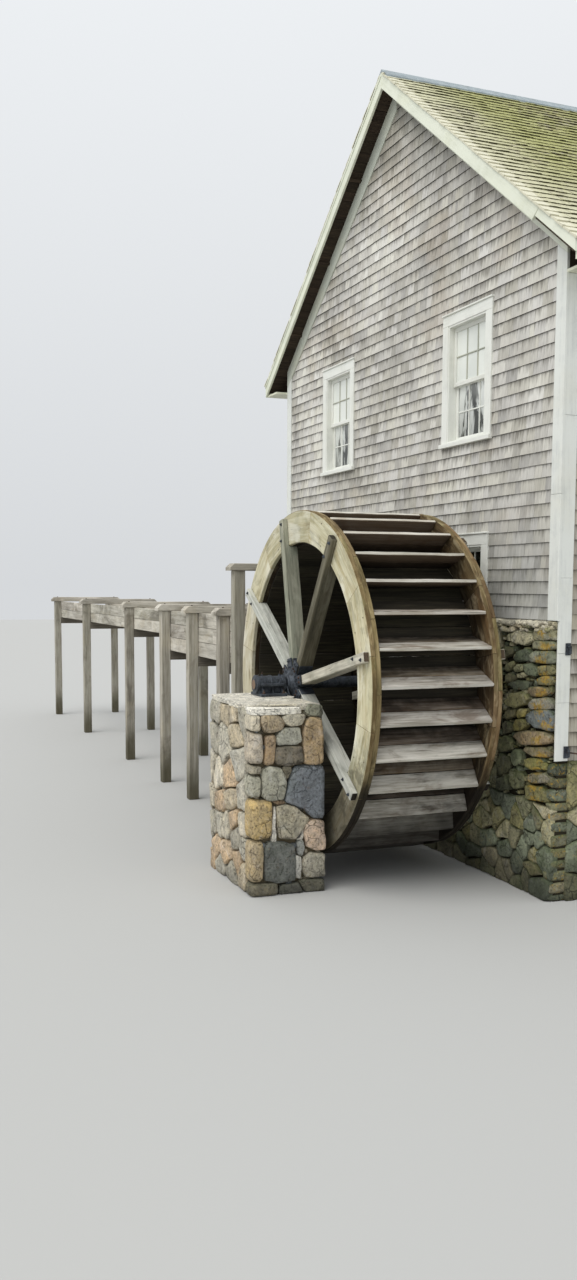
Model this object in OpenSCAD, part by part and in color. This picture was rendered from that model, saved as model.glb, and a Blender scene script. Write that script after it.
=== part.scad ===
// Watermill: a shingled gable building on a fieldstone foundation, with a
// wooden water wheel in front of the gable, its outer bearing on a stone pier,
// and a timber flume on post bents.
// Millimetres, +Z up, Z = 0 at the lowest ground. X runs along the gable wall,
// Y runs into the building. Heights in the sections below are measured from
// the axle, unless they say otherwise.

/* [Water wheel] */
// Outer radius of the wheel
wheel_r = 1830; // [1750:5:1870]
// Inner radius of the shroud rings
ring_r = 1496; // [1470:2:1510]
// Width of the wheel over both shrouds
wheel_w = 1394; // [1350:2:1410]
// Thickness of each shroud
shroud_t = 95; // [80:1:100]
// Number of buckets
buckets = 32; // [16:4:40]
// Direction of the first bucket edge, in degrees from the horizontal
bucket_a0 = 2.9; // [0:0.1:11]
// Lean of the bucket boards from the radial line, in degrees
bucket_lean = 28; // [15:1:35]
// Thickness of the bucket boards
bucket_t = 44; // [30:1:50]
// Direction of the first spoke, in degrees from the horizontal
spoke_a0 = 12.5; // [0:0.5:44]
// Width of a spoke, seen from the front
spoke_w = 100; // [80:1:100]
// How far the spokes stand proud of the shrouds
spoke_lap = 65; // [40:1:65]
// Radius of the iron shaft
shaft_r = 60; // [50:1:65]
// Height of the axle above the lowest ground
axle_h = 2000; // [1950:10:2200]

/* [Building] */
// Outer width of the gable wall
house_w = 6930; // [6600:10:7200]
// Length of the building
house_l = 9000; // [8600:10:9400]
// Middle of the gable wall, from the axle
house_x = -1300; // [-1350:5:-1250]
// Distance of the gable wall from the wheel's outer face
house_y = 1760; // [1740:2:1800]
// Thickness of the framed walls
wall_t = 160; // [140:5:180]
// Thickness of the stone walls
stone_t = 450; // [400:10:500]
// Top of the stone wall behind the wheel, from the axle
stone_top = 720; // [700:5:740]
// Top of the other stone walls, from the axle
sill_top = -620; // [-640:5:-600]
// Top of the upper floor, from the axle
floor_z = 1680; // [1660:5:1700]
// Thickness of the floors
floor_t = 150; // [120:5:160]

/* [Roof] */
// Pitch of the roof in degrees
pitch = 37.2; // [36:0.1:38]
// Height of the roof deck at the ridge, from the axle
ridge_z = 7010; // [6950:5:7050]
// Thickness of the roof measured plumb
roof_t = 130; // [120:5:150]
// Overhang of the eaves beyond the side walls
eave_out = 420; // [380:5:450]
// Overhang of the roof beyond the gable walls
rake_out = 228; // [200:2:240]
// Depth of the rake boards measured plumb
rake_d = 170; // [150:2:180]
// Depth of the right slope's lowest rake boards measured plumb
rake_low_d = 110; // [105:1:150]
// Depth of the frieze boards on the left slope
frieze_left_d = 255; // [240:5:260]
// Depth of the frieze boards on the right slope
frieze_right_d = 165; // [150:5:170]

/* [Windows and door] */
// Width of a window opening
win_w = 780; // [740:5:820]
// Height of an upper window opening
win_h = 1260; // [1200:5:1300]
// Bottom of the upper window openings, from the axle
win_z = 2600; // [2560:5:2640]
// Height of a lower window opening
low_h = 635; // [600:5:640]
// Bottom of the lower window openings, from the axle
low_z = 840; // [830:5:860]
// Width of the window casings
casing_w = 115; // [100:1:120]
// Width of the door opening
door_w = 900; // [860:5:940]

/* [Pier] */
// Length of the pier along the wall
pier_l = 1335; // [1280:5:1360]
// Depth of the pier
pier_d = 740; // [700:5:740]
// Left end of the pier, from the axle
pier_x = -335; // [-360:5:-300]
// Height of the cap slab's top, from the axle
cap_z = -120; // [-130:1:-115]

/* [Flume] */
// Where the flume stops short of the wheel
flume_end = -2160; // [-2200:5:-2160]
// Where the flume is cut off upstream
flume_far = -15500; // [-15600:10:-15400]
// Near side of the trough
flume_y = 80; // [70:1:90]
// Outer width of the trough
flume_w = 1190; // [1170:5:1200]
// Thickness of the trough planks
plank_t = 50; // [40:1:50]
// Side of the square posts
post_s = 145; // [130:1:145]

/* [Hidden] */
$fn = 96;
s = tan(pitch);
x0 = house_x - house_w/2;
x1 = house_x + house_w/2;
y0 = house_y;
y1 = house_y + house_l;
xe0 = x0 - eave_out;
xe1 = x1 + eave_out;
soffit_z = ridge_z - roof_t;
run = house_w/2 + eave_out;
board = 28;
rake_joint = 3205;
low_floor_z = sill_top + floor_t;
pier_y1 = -130;
pier_y0 = pier_y1 - pier_d;
cap_lip = 22;
bent_x = [-2550, -3950, -5420, -7780, -11560, -15000];
trough_top = 650;
shallow_z = 330;
deep_z = 40;
cap_h = 100;
low_x = [-2925, 425];
side_y = [3200, 6260, 9320];
side_win_z = win_z - 100;
slot = 10;
bx0 = flume_far;
bx1 = xe1;
by0 = pier_y0 - cap_lip;
by1 = y1 + rake_out;

// Moves the model so that the origin is under the middle of its box.
module place() {
  translate([-(bx0 + bx1)/2, -(by0 + by1)/2, axle_h]) children();
}
// A box between two corners.
module box(a, b) { translate(a) cube(b - a); }
// An outline in X and Z, drawn out from y = a to y = b.
module along_y(a, b) {
  translate([0, b, 0]) rotate([90, 0, 0]) linear_extrude(b - a) children();
}
// A round bar along Y.
module bar_y(r, a, b) {
  translate([0, b, 0]) rotate([90, 0, 0]) cylinder(r = r, h = b - a);
}

// ---- stone walls ----
module foundation_front() {
  color("#6f6c58") place() difference() {
    box([x0, y0, -axle_h], [x1, y0 + stone_t, stone_top]);
    bar_y(shaft_r + 20, y0 - 10, y0 + stone_t + 10);
  }
}
module foundation_side_walls() {
  color("#6f6c58") place() for (x = [x0, x1 - stone_t])
    box([x, y0 + stone_t, -axle_h], [x + stone_t, y1 - stone_t, sill_top]);
}
module foundation_back() {
  color("#6f6c58") place()
    box([x0, y1 - stone_t, -axle_h], [x1, y1, sill_top]);
}

// ---- framed walls ----
module gable(z) {
  polygon([[x0, z], [x1, z], [x1, soffit_z - s*house_w/2],
    [house_x, soffit_z], [x0, soffit_z - s*house_w/2]]);
}
module front_wall() {
  color("#b5b0b0") place() difference() {
    along_y(y0, y0 + wall_t) gable(stone_top);
    for (x = low_x)
      box([x - win_w/2, y0 - slot, win_z], [x + win_w/2, y0 + wall_t + slot, win_z + win_h]);
    box([low_x[1] - win_w/2, y0 - slot, low_z],
      [low_x[1] + win_w/2, y0 + wall_t + slot, low_z + low_h]);
  }
}
module back_wall() {
  color("#b5b0b0") place() difference() {
    along_y(y1 - wall_t, y1) gable(sill_top);
    for (x = low_x) {
      box([x - win_w/2, y1 - wall_t - slot, win_z], [x + win_w/2, y1 + slot, win_z + win_h]);
      box([x - win_w/2, y1 - wall_t - slot, low_z], [x + win_w/2, y1 + slot, low_z + low_h]);
    }
  }
}
// A side wall whose outer face is at x = a and whose inner face is at x = b.
module side_wall(a, b) {
  difference() {
    along_y(y0 + wall_t, y1 - wall_t)
      polygon([[a, sill_top], [b, sill_top],
        [b, soffit_z - s*(house_w/2 - wall_t)], [a, soffit_z - s*house_w/2]]);
    box([x0 - slot, y0, sill_top - slot], [x1 + slot, y0 + stone_t, stone_top]);
  }
}
module right_wall() {
  color("#b5b0b0") place() difference() {
    side_wall(x1, x1 - wall_t);
    for (y = side_y) {
      box([x1 - wall_t - slot, y - win_w/2, side_win_z], [x1 + slot, y + win_w/2, side_win_z + win_h]);
      box([x1 - wall_t - slot, y - win_w/2, low_z], [x1 + slot, y + win_w/2, low_z + low_h]);
    }
  }
}
module left_wall() {
  color("#b5b0b0") place() difference() {
    side_wall(x0, x0 + wall_t);
    for (y = side_y)
      box([x0 - slot, y - win_w/2, side_win_z], [x0 + wall_t + slot, y + win_w/2, side_win_z + win_h]);
    for (y = [side_y[0], side_y[2]])
      box([x0 - slot, y - win_w/2, low_z], [x0 + wall_t + slot, y + win_w/2, low_z + low_h]);
    box([x0 - slot, side_y[1] - door_w/2, low_floor_z],
      [x0 + wall_t + slot, side_y[1] + door_w/2, low_z + low_h]);
  }
}

// ---- floors ----
module lower_floor() {
  color("#8a7558") place()
    box([x0 + wall_t, y0 + stone_t, sill_top], [x1 - wall_t, y1 - wall_t, low_floor_z]);
}
module upper_floor() {
  color("#8a7558") place()
    box([x0 + wall_t, y0 + wall_t, floor_z - floor_t], [x1 - wall_t, y1 - wall_t, floor_z]);
}

// ---- roof: d is +1 for the right slope and -1 for the left slope ----
module slope(d, top, bottom, reach) {
  polygon([[house_x, top], [house_x + d*reach, top - s*reach],
    [house_x + d*reach, bottom - s*reach], [house_x, bottom]]);
}
module roof_slab(d) {
  along_y(y0 - rake_out + board, y1 + rake_out - board)
    slope(d, ridge_z, soffit_z, run - board);
}
module roof_left() { color("#8d9560") place() roof_slab(-1); }
module roof_right() { color("#8d9560") place() roof_slab(1); }
module ridge_cap() {
  color("#8c9aa0") place() along_y(y0 - rake_out, y1 + rake_out)
    polygon([[house_x, ridge_z + 42], [house_x + 150, ridge_z + 42 - s*150],
      [house_x + 150, ridge_z + 0.3 - s*150], [house_x, ridge_z + 0.3],
      [house_x - 150, ridge_z + 0.3 - s*150], [house_x - 150, ridge_z + 42 - s*150]]);
}
module rake_boards_left() {
  color("#d9d6bf") place() for (y = [y0 - rake_out, y1 + rake_out - board])
    along_y(y, y + board) slope(-1, ridge_z, ridge_z - rake_d, run);
}
// The right slope's boards are narrower over their lowest stretch.
module rake_boards_right() {
  color("#d9d6bf") place() for (y = [y0 - rake_out, y1 + rake_out - board])
    along_y(y, y + board)
      polygon([[house_x, ridge_z], [house_x + run, ridge_z - s*run],
        [house_x + run, ridge_z - rake_low_d - s*run],
        [house_x + rake_joint, ridge_z - rake_low_d - s*rake_joint],
        [house_x + rake_joint, ridge_z - rake_d - s*rake_joint], [house_x, ridge_z - rake_d]]);
}
function frieze_d(d) = d > 0 ? frieze_right_d : frieze_left_d;
module friezes(d) {
  for (y = [y0 - board, y1])
    along_y(y, y + board) slope(d, soffit_z, soffit_z - frieze_d(d), house_w/2 + board);
}
module frieze_boards_left() { color("#c9cbc1") place() friezes(-1); }
module frieze_boards_right() { color("#c9cbc1") place() friezes(1); }
// Fascia and level soffit board of one eave. The right soffit stops at the gables.
module eave(d) {
  zt = ridge_z - s*run;
  zb = ridge_z - rake_d - s*run;
  back = d > 0 ? board : rake_out - board;
  union() {
    along_y(y0 - rake_out + board, y1 + rake_out - board)
      polygon([[house_x + d*run, zt], [house_x + d*run, zb],
        [house_x + d*(run - board), zb], [house_x + d*(run - board), zt + s*board]]);
    along_y(y0 - back, y1 + back)
      polygon([[house_x + d*run, zb], [house_x + d*(house_w/2 + board), zb],
        [house_x + d*(house_w/2 + board), zb + 25], [house_x + d*run, zb + 25]]);
  }
}
module eave_left() { color("#d9d6bf") place() eave(-1); }
module eave_right() { color("#d9d6bf") place() eave(1); }

// ---- corner boards: an L of two boards at each corner ----
module corner(d, front) {
  xa = house_x + d*house_w/2;
  ya = front ? y0 : y1;
  dy = front ? -1 : 1;
  zb = front ? stone_top : sill_top;
  zt = soffit_z - frieze_d(d);
  // the face on the gable
  along_y(min(ya, ya + dy*board), max(ya, ya + dy*board))
    polygon([[xa - d*130, zb], [xa + d*board, zb],
      [xa + d*board, zt - s*(house_w/2 + board)], [xa - d*130, zt - s*(house_w/2 - 130)]]);
  // the face on the side wall
  box([min(xa, xa + d*board), min(ya, ya - dy*140), sill_top],
    [max(xa, xa + d*board), max(ya, ya - dy*140), ridge_z - rake_d - s*run]);
}
module corner_boards() {
  color("#e2e1d6") place() for (d = [-1, 1]) for (f = [true, false]) corner(d, f);
}

// ---- windows, drawn with the wall face at y = 0 and the wall behind it ----
module ring(a, b, w) {
  difference() {
    box(a, b);
    box([a[0] + w, a[1] - slot, a[2] + w], [b[0] - w, b[1] + slot, b[2] - w]);
  }
}
// Casing, lining, sill and sashes of an opening w wide and h high.
module window_frame(w, h, two) {
  difference() {
    box([-casing_w, -30, 0], [w + casing_w, 0, h + casing_w]);
    box([0, -30 - slot, -slot], [w, slot, h]);
  }
  box([-casing_w - 20, -60, -48], [w + casing_w + 20, 0, 0]);
  ring([0, -25, 0], [w, wall_t - 10, h], 20);
  if (two) {
    ring([20, 40, h/2 - 20], [w - 20, 75, h - 20], 45);
    ring([20, 75, 20], [w - 20, 110, h/2 + 20], 45);
  } else ring([20, 55, 20], [w - 20, 95, h - 20], 45);
}
module panes(w, h, two) {
  if (two) {
    box([65, 55, h/2 + 25], [w - 65, 61, h - 65]);
    box([65, 90, 65], [w - 65, 96, h/2 - 25]);
  } else box([65, 72, 65], [w - 65, 78, h - 65]);
}
module front_window_places(up) {
  if (up) for (x = low_x) translate([x - win_w/2, y0, win_z]) children();
  else translate([low_x[1] - win_w/2, y0, low_z]) children();
}
module back_window_places(up) {
  for (x = low_x) translate([x + win_w/2, y1, up ? win_z : low_z]) rotate([0, 0, 180]) children();
}
module right_window_places(up) {
  for (y = side_y) translate([x1, y - win_w/2, up ? side_win_z : low_z]) rotate([0, 0, 90]) children();
}
module left_window_places(up) {
  for (y = up ? side_y : [side_y[0], side_y[2]])
    translate([x0, y + win_w/2, up ? side_win_z : low_z]) rotate([0, 0, -90]) children();
}
module front_windows() {
  color("#e4e3d8") place() {
    front_window_places(true) window_frame(win_w, win_h, true);
    front_window_places(false) window_frame(win_w, low_h, false);
  }
}
module back_windows() {
  color("#e4e3d8") place() {
    back_window_places(true) window_frame(win_w, win_h, true);
    back_window_places(false) window_frame(win_w, low_h, false);
  }
}
module right_windows() {
  color("#e4e3d8") place() {
    right_window_places(true) window_frame(win_w, win_h, true);
    right_window_places(false) window_frame(win_w, low_h, false);
  }
}
module left_windows() {
  color("#e4e3d8") place() {
    left_window_places(true) window_frame(win_w, win_h, true);
    left_window_places(false) window_frame(win_w, low_h, false);
  }
}
module window_glass() {
  color("#9fb0ba") place() {
    front_window_places(true) panes(win_w, win_h, true);
    front_window_places(false) panes(win_w, low_h, false);
    back_window_places(true) panes(win_w, win_h, true);
    back_window_places(false) panes(win_w, low_h, false);
    right_window_places(true) panes(win_w, win_h, true);
    right_window_places(false) panes(win_w, low_h, false);
    left_window_places(true) panes(win_w, win_h, true);
    left_window_places(false) panes(win_w, low_h, false);
  }
}

// ---- door in the bank side ----
door_h = low_z + low_h - low_floor_z;
module door_frame() {
  color("#e4e3d8") place()
    translate([x0, side_y[1] + door_w/2, low_floor_z]) rotate([0, 0, -90]) {
      difference() {
        box([-casing_w, -30, -60], [door_w + casing_w, 0, door_h + casing_w]);
        box([0, -30 - slot, -60 - slot], [door_w, slot, door_h]);
      }
      difference() {
        box([0, -25, 0], [door_w, wall_t - 10, door_h]);
        box([30, -25 - slot, 30], [door_w - 30, wall_t + slot, door_h - 30]);
      }
    }
}
module entrance_door() {
  color("#8f8672") place()
    translate([x0, side_y[1] + door_w/2, low_floor_z]) rotate([0, 0, -90])
      box([30, 45, 30], [door_w - 30, 90, door_h - 30]);
}

// ---- pier and bearings ----
module bearing_pier() {
  color("#a38d66") place()
    box([pier_x, pier_y0, -axle_h], [pier_x + pier_l, pier_y1, cap_z - 45]);
}
module pier_cap() {
  color("#c9c1a8") place()
    box([pier_x - cap_lip, pier_y0 - cap_lip, cap_z - 45],
      [pier_x + pier_l + cap_lip, pier_y1 + 10, cap_z]);
}
module outer_bearing() {
  color("#23272d") place() difference() {
    union() {
      bar_y(88, -500, -170);
      bar_y(98, -500, -465);
      bar_y(98, -205, -170);
      box([-70, -480, cap_z], [70, -190, 0]);
      box([-170, -480, cap_z], [170, -190, cap_z + 32]);
      box([-132, -400, -20], [132, -270, 20]);
    }
    bar_y(shaft_r + 0.05, -510, -160);
  }
}
module wall_bearing() {
  color("#23272d") place() difference() {
    union() { bar_y(170, y0 - 25, y0); bar_y(105, y0 - 70, y0 - 20); }
    bar_y(shaft_r + 0.05, y0 - 80, y0 + 10);
  }
}

// ---- flume ----
module post(x, y, z) {
  box([x - post_s, y, -axle_h], [x, y + post_s, z]);
}
module flume_posts() {
  color("#8a8679") place() for (x = bent_x) {
    post(x, flume_y - post_s, trough_top);
    post(x, flume_y + flume_w, trough_top);
  }
}
// A beam along Y with its upper end edges cut back.
module cap_beam(x, a, b, z, w, h) {
  translate([x - w, 0, 0]) rotate([90, 0, 90]) linear_extrude(w)
    polygon([[a, z], [b, z], [b, z + h*0.45], [b - h*0.6, z + h],
      [a + h*0.6, z + h], [a, z + h*0.45]]);
}
module flume_cap_beams() {
  color("#a5a299") place() for (x = bent_x)
    cap_beam(x + 20, flume_y - post_s - 60, flume_y + flume_w + post_s + 60,
      trough_top, post_s + 40, cap_h);
}
module flume_floor_beams() {
  color("#8a8679") place() for (x = bent_x)
    let (z = x < -5500 ? shallow_z - plank_t : deep_z)
      box([x - post_s, flume_y, z - 140], [x, flume_y + flume_w, z]);
}
module trough_side(y) {
  box([flume_far, y, shallow_z - plank_t], [flume_end, y + plank_t, trough_top]);
  box([bent_x[2] - 30, y, deep_z], [flume_end, y + plank_t, shallow_z - plank_t]);
}
module flume_near_side() { color("#b3b1aa") place() trough_side(flume_y); }
module flume_far_side() {
  color("#b3b1aa") place() trough_side(flume_y + flume_w - plank_t);
}
module flume_floor() {
  color("#9a978c") place() {
    box([flume_far, flume_y + plank_t, shallow_z - plank_t],
      [bent_x[2] + 20, flume_y + flume_w - plank_t, shallow_z]);
    box([bent_x[2] - 30, flume_y + plank_t, deep_z],
      [bent_x[2] + 20, flume_y + flume_w - plank_t, shallow_z]);
    box([bent_x[2] - 30, flume_y + plank_t, deep_z],
      [flume_end, flume_y + flume_w - plank_t, deep_z + plank_t]);
  }
}
module sluice_frame() {
  color("#a5a299") place() {
    post(-1945, flume_y - post_s, 1220);
    post(-1945, flume_y + flume_w, 1220);
    cap_beam(-1925, flume_y - post_s - 60, flume_y + flume_w + post_s + 60,
      1220, post_s + 40, 88);
  }
}
module flume_steel_post() {
  color("#20262e") place() for (y = [flume_y + 20, flume_y + flume_w - 120])
    box([flume_end - 170, y, -axle_h], [flume_end - 70, y + 100, deep_z]);
}

// ---- water wheel ----
// Part of a ring around Y, from angle a over the angle da.
module sector(r0, r1, a, da, ya, yb) {
  translate([0, yb, 0]) rotate([90, 0, 0]) rotate([0, 0, a])
    rotate_extrude(angle = da) translate([r0, 0]) square([r1 - r0, yb - ya]);
}
// A timber that points away from the axle at angle a.
module radial(r0, r1, w, a, ya, yb) {
  translate([0, yb, 0]) rotate([90, 0, 0]) rotate([0, 0, a])
    translate([r0, -w/2, 0]) cube([r1 - r0, w, yb - ya]);
}
felloes = 16;
joint_a = 0.07;
module shroud(ya, yb) {
  for (i = [0:felloes - 1])
    sector(ring_r, wheel_r, spoke_a0 + i*360/felloes + joint_a/2,
      360/felloes - joint_a, ya, yb);
}
module outer_shroud() { color("#d6cda2") place() shroud(0, shroud_t); }
module inner_shroud() { color("#9c8a62") place() shroud(wheel_w - shroud_t, wheel_w); }
// One spoke at angle a: its inner end at y = ya, the shroud's face at y = ym
// and its proud face at y = yb.
module spoke(a, ya, ym, yb) {
  rotate([90, 0, 0]) rotate([0, 0, a]) translate([0, spoke_w/2, 0])
    rotate([90, 0, 0]) linear_extrude(spoke_w)
      polygon([[125, -ya], [ring_r - 6, -ya], [ring_r - 6, -ym], [1792, -ym],
        [1792, -yb], [125, -yb]]);
}
module wheel_spokes() {
  color("#b4afa0") place() for (i = [0:7]) let (a = spoke_a0 + i*45) {
    spoke(a, shroud_t, 0, -spoke_lap);
    spoke(a, wheel_w - shroud_t, wheel_w, wheel_w + spoke_lap);
  }
}
module hub(ya, yb, yc, yd) {
  difference() {
    union() {
      bar_y(118, min(ya, yb), max(ya, yb));
      bar_y(270, min(yb, yc), max(yb, yc));
      bar_y(95, min(yc, yd), max(yc, yd));
    }
    bar_y(shaft_r + 0.2, min(ya, yd) - 10, max(ya, yd) + 10);
  }
}
module wheel_hubs() {
  color("#2a2e35") place() {
    hub(shroud_t, -spoke_lap, -spoke_lap - 25, -150);
    hub(wheel_w - shroud_t, wheel_w + spoke_lap, wheel_w + spoke_lap + 25, wheel_w + 150);
  }
}
module wheel_shaft() { color("#20242a") place() bar_y(shaft_r, -508, y0 + 390); }
pitch_a = 360/buckets;
sole_out = (ring_r - 0.4)*cos(pitch_a/2);
sole_half = (sole_out - 30)*tan(pitch_a/2) - 1.5;
module sole_boards() {
  color("#6b5c48") place() for (i = [0:buckets - 1])
    radial(sole_out - 30, sole_out, 2*sole_half, bucket_a0 + (i + 0.5)*pitch_a,
      shroud_t, wheel_w - shroud_t);
}
// Distance from the point q, back along the direction e, to the circle of radius r.
function back_to(q, e, r) = q*e - sqrt((q*e)*(q*e) - q*q + r*r);
// Outline of one bucket board whose outer edge is on the X axis.
function bucket_outline() =
  let (e = [cos(bucket_lean), -sin(bucket_lean)], n = [sin(bucket_lean), cos(bucket_lean)])
  let (q = [wheel_r, 0] - n*bucket_t/2, p = [wheel_r, 0] + n*bucket_t/2)
  let (qo = back_to(q, e, wheel_r - 5), qi = back_to(q, e, ring_r + 2),
       po = back_to(p, e, wheel_r - 5), pi_ = back_to(p, e, ring_r + 2))
  [q - e*qi, q - e*qo, p - e*po, p - e*pi_];
module bucket_boards() {
  color("#8f8472") place() for (i = [0:buckets - 1])
    translate([0, wheel_w - shroud_t, 0]) rotate([90, 0, 0])
      rotate([0, 0, bucket_a0 + i*pitch_a])
        linear_extrude(wheel_w - 2*shroud_t) polygon(bucket_outline());
}

foundation_front();
foundation_side_walls();
foundation_back();
front_wall();
back_wall();
left_wall();
right_wall();
lower_floor();
upper_floor();
roof_left();
roof_right();
ridge_cap();
rake_boards_left();
rake_boards_right();
frieze_boards_left();
frieze_boards_right();
eave_left();
eave_right();
corner_boards();
front_windows();
right_windows();
back_windows();
left_windows();
window_glass();
entrance_door();
door_frame();
bearing_pier();
pier_cap();
outer_bearing();
wall_bearing();
flume_posts();
flume_cap_beams();
flume_floor_beams();
flume_near_side();
flume_far_side();
flume_floor();
sluice_frame();
flume_steel_post();
outer_shroud();
inner_shroud();
wheel_spokes();
wheel_hubs();
wheel_shaft();
sole_boards();
bucket_boards();
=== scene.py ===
import math

import bpy
import numpy as np
from mathutils import Matrix, Vector


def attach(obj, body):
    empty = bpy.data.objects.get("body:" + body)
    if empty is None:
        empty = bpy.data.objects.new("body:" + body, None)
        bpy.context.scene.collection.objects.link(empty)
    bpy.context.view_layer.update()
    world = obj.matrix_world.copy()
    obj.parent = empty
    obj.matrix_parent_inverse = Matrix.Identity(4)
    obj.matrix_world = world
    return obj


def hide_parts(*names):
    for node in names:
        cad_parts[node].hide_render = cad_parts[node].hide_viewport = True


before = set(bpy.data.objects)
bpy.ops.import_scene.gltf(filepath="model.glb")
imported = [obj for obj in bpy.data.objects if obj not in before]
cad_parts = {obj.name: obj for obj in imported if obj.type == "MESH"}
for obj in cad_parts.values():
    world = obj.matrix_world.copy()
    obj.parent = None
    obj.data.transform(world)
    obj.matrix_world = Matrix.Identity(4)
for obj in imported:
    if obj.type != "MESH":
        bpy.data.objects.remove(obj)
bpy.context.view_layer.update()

# Everything below is written in the wheel's own frame, in metres: X along the gable wall, Y into the building,
# Z up from the axle, with the origin on the outer face of the outer shroud. O moves it to the part's frame.
O = np.array((6.4575, -5.048, 2.0))
RNG = np.random.default_rng(11)
HX, HW, HY, HL = -1.3, 6.93, 1.76, 9.0            # middle and width of the gable wall, its face, length
X0, X1, Y0, Y1 = HX - HW / 2, HX + HW / 2, HY, HY + HL
S = math.tan(math.radians(37.2))
RIDGE, SOFFIT, EAVE, RAKE = 7.01, 6.88, 0.42, 0.228
RUN = HW / 2 + EAVE
R_OUT, R_IN, WW, ST = 1.83, 1.496, 1.394, 0.095
BUCKETS, B_A0, SP_A0 = 32, 2.9, 12.5


def rnd(a=0.0, b=1.0):
    return float(RNG.uniform(a, b))


# ------------------------------------------------------------------ materials
def lin(h):
    """Linear colour of a hex value."""
    h = h.lstrip("#")
    v = [int(h[i:i + 2], 16) / 255 for i in (0, 2, 4)]
    return tuple(x / 12.92 if x <= 0.04045 else ((x + 0.055) / 1.055) ** 2.4 for x in v)


class Mat:
    def __init__(self, name, rough=0.8, spec=0.3, metal=0.0):
        self.m = bpy.data.materials.new(name)
        self.m.use_nodes = True
        self.t = self.m.node_tree
        self.t.nodes.clear()
        self.out = self.node("ShaderNodeOutputMaterial")
        self.b = self.node("ShaderNodeBsdfPrincipled")
        self.t.links.new(self.b.outputs[0], self.out.inputs[0])
        self.b.inputs["Roughness"].default_value = rough
        self.b.inputs["Specular IOR Level"].default_value = spec
        self.b.inputs["Metallic"].default_value = metal

    def node(self, kind, **kw):
        n = self.t.nodes.new(kind)
        for k, v in kw.items():
            setattr(n, k, v)
        return n

    def put(self, sock, v):
        if isinstance(v, bpy.types.NodeSocket):
            self.t.links.new(v, sock)
        elif sock.type == "RGBA":
            if isinstance(v, str):
                v = lin(v)
            if isinstance(v, (int, float)):
                v = (v, v, v)
            sock.default_value = tuple(v)[:3] + (1.0,)
        elif sock.type == "VECTOR":
            sock.default_value = (v, v, v) if isinstance(v, (int, float)) else tuple(v)
        else:
            sock.default_value = v

    def attr(self, name):
        n = self.node("ShaderNodeAttribute", attribute_type="GEOMETRY", attribute_name=name)
        return n

    def gc(self):
        return self.attr("gc").outputs["Vector"]

    def obj(self):
        return self.node("ShaderNodeTexCoord").outputs["Object"]

    def nrm(self):
        return self.node("ShaderNodeNewGeometry").outputs["Normal"]

    def info(self):
        """Per-piece random number, end-grain flag and a third value."""
        v = self.sep(self.attr("pa").outputs["Vector"])
        return v[0], v[1], v[2]

    def vm(self, op, a, b):
        n = self.node("ShaderNodeVectorMath", operation=op)
        self.put(n.inputs[0], a)
        if op == "SCALE":
            self.put(n.inputs[3], b)
        else:
            self.put(n.inputs[1], b)
        return n.outputs[0]

    def mm(self, op, a, b=0.0, c=0.0, clamp=False):
        n = self.node("ShaderNodeMath", operation=op, use_clamp=clamp)
        for i, v in enumerate((a, b, c)):
            self.put(n.inputs[i], v)
        return n.outputs[0]

    def sep(self, v):
        n = self.node("ShaderNodeSeparateXYZ")
        self.put(n.inputs[0], v)
        return n.outputs[0], n.outputs[1], n.outputs[2]

    def comb(self, x, y, z):
        n = self.node("ShaderNodeCombineXYZ")
        for i, v in enumerate((x, y, z)):
            self.put(n.inputs[i], v)
        return n.outputs[0]

    def noise(self, v, scale=1.0, det=4.0, ro=0.55, dist=0.0):
        n = self.node("ShaderNodeTexNoise")
        self.put(n.inputs["Vector"], v)
        self.put(n.inputs["Scale"], scale)
        self.put(n.inputs["Detail"], det)
        self.put(n.inputs["Roughness"], ro)
        self.put(n.inputs["Distortion"], dist)
        return n.outputs[0]

    def vor(self, v, scale=1.0, feature="F1", rand=1.0):
        n = self.node("ShaderNodeTexVoronoi", feature=feature)
        self.put(n.inputs["Vector"], v)
        self.put(n.inputs["Scale"], scale)
        self.put(n.inputs["Randomness"], rand)
        return n.outputs["Distance"], (n.outputs["Color"] if feature == "F1" else None)

    def noise_color(self, v, scale):
        n = self.node("ShaderNodeTexNoise")
        self.put(n.inputs["Vector"], v)
        self.put(n.inputs["Scale"], scale)
        self.put(n.inputs["Detail"], 3.0)
        return n.outputs[1]

    def node_color(self, c):
        """A noise colour, centred on zero, as a vector."""
        return self.vm("SUBTRACT", c, (0.5, 0.5, 0.5))

    def ramp(self, f, stops, interp="LINEAR"):
        n = self.node("ShaderNodeValToRGB")
        r = n.color_ramp
        r.interpolation = interp
        while len(r.elements) < len(stops):
            r.elements.new(0.5)
        for e, (p, c) in zip(r.elements, stops):
            e.position = p
            if isinstance(c, str):
                c = lin(c)
            if isinstance(c, (int, float)):
                c = (c, c, c)
            e.color = tuple(c)[:3] + (1.0,)
        self.put(n.inputs[0], f)
        return n.outputs[0]

    def step(self, f, a, b):
        """0 below a, 1 above b (a may be larger than b)."""
        n = self.node("ShaderNodeMapRange", interpolation_type="SMOOTHSTEP")
        self.put(n.inputs["Value"], f)
        if a <= b:
            n.inputs["From Min"].default_value, n.inputs["From Max"].default_value = a, b
        else:
            n.inputs["From Min"].default_value, n.inputs["From Max"].default_value = b, a
            n.inputs["To Min"].default_value, n.inputs["To Max"].default_value = 1.0, 0.0
        return n.outputs["Result"]

    def mix(self, f, a, b, mode="MIX"):
        n = self.node("ShaderNodeMix", data_type="RGBA", blend_type=mode)
        n.clamp_factor = True
        self.put(n.inputs[0], f)
        self.put(n.inputs[6], a)
        self.put(n.inputs[7], b)
        return n.outputs[2]

    def hsv(self, c, h=0.5, s=1.0, v=1.0):
        n = self.node("ShaderNodeHueSaturation")
        self.put(n.inputs["Hue"], h)
        self.put(n.inputs["Saturation"], s)
        self.put(n.inputs["Value"], v)
        self.put(n.inputs["Color"], c)
        return n.outputs[0]

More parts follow.
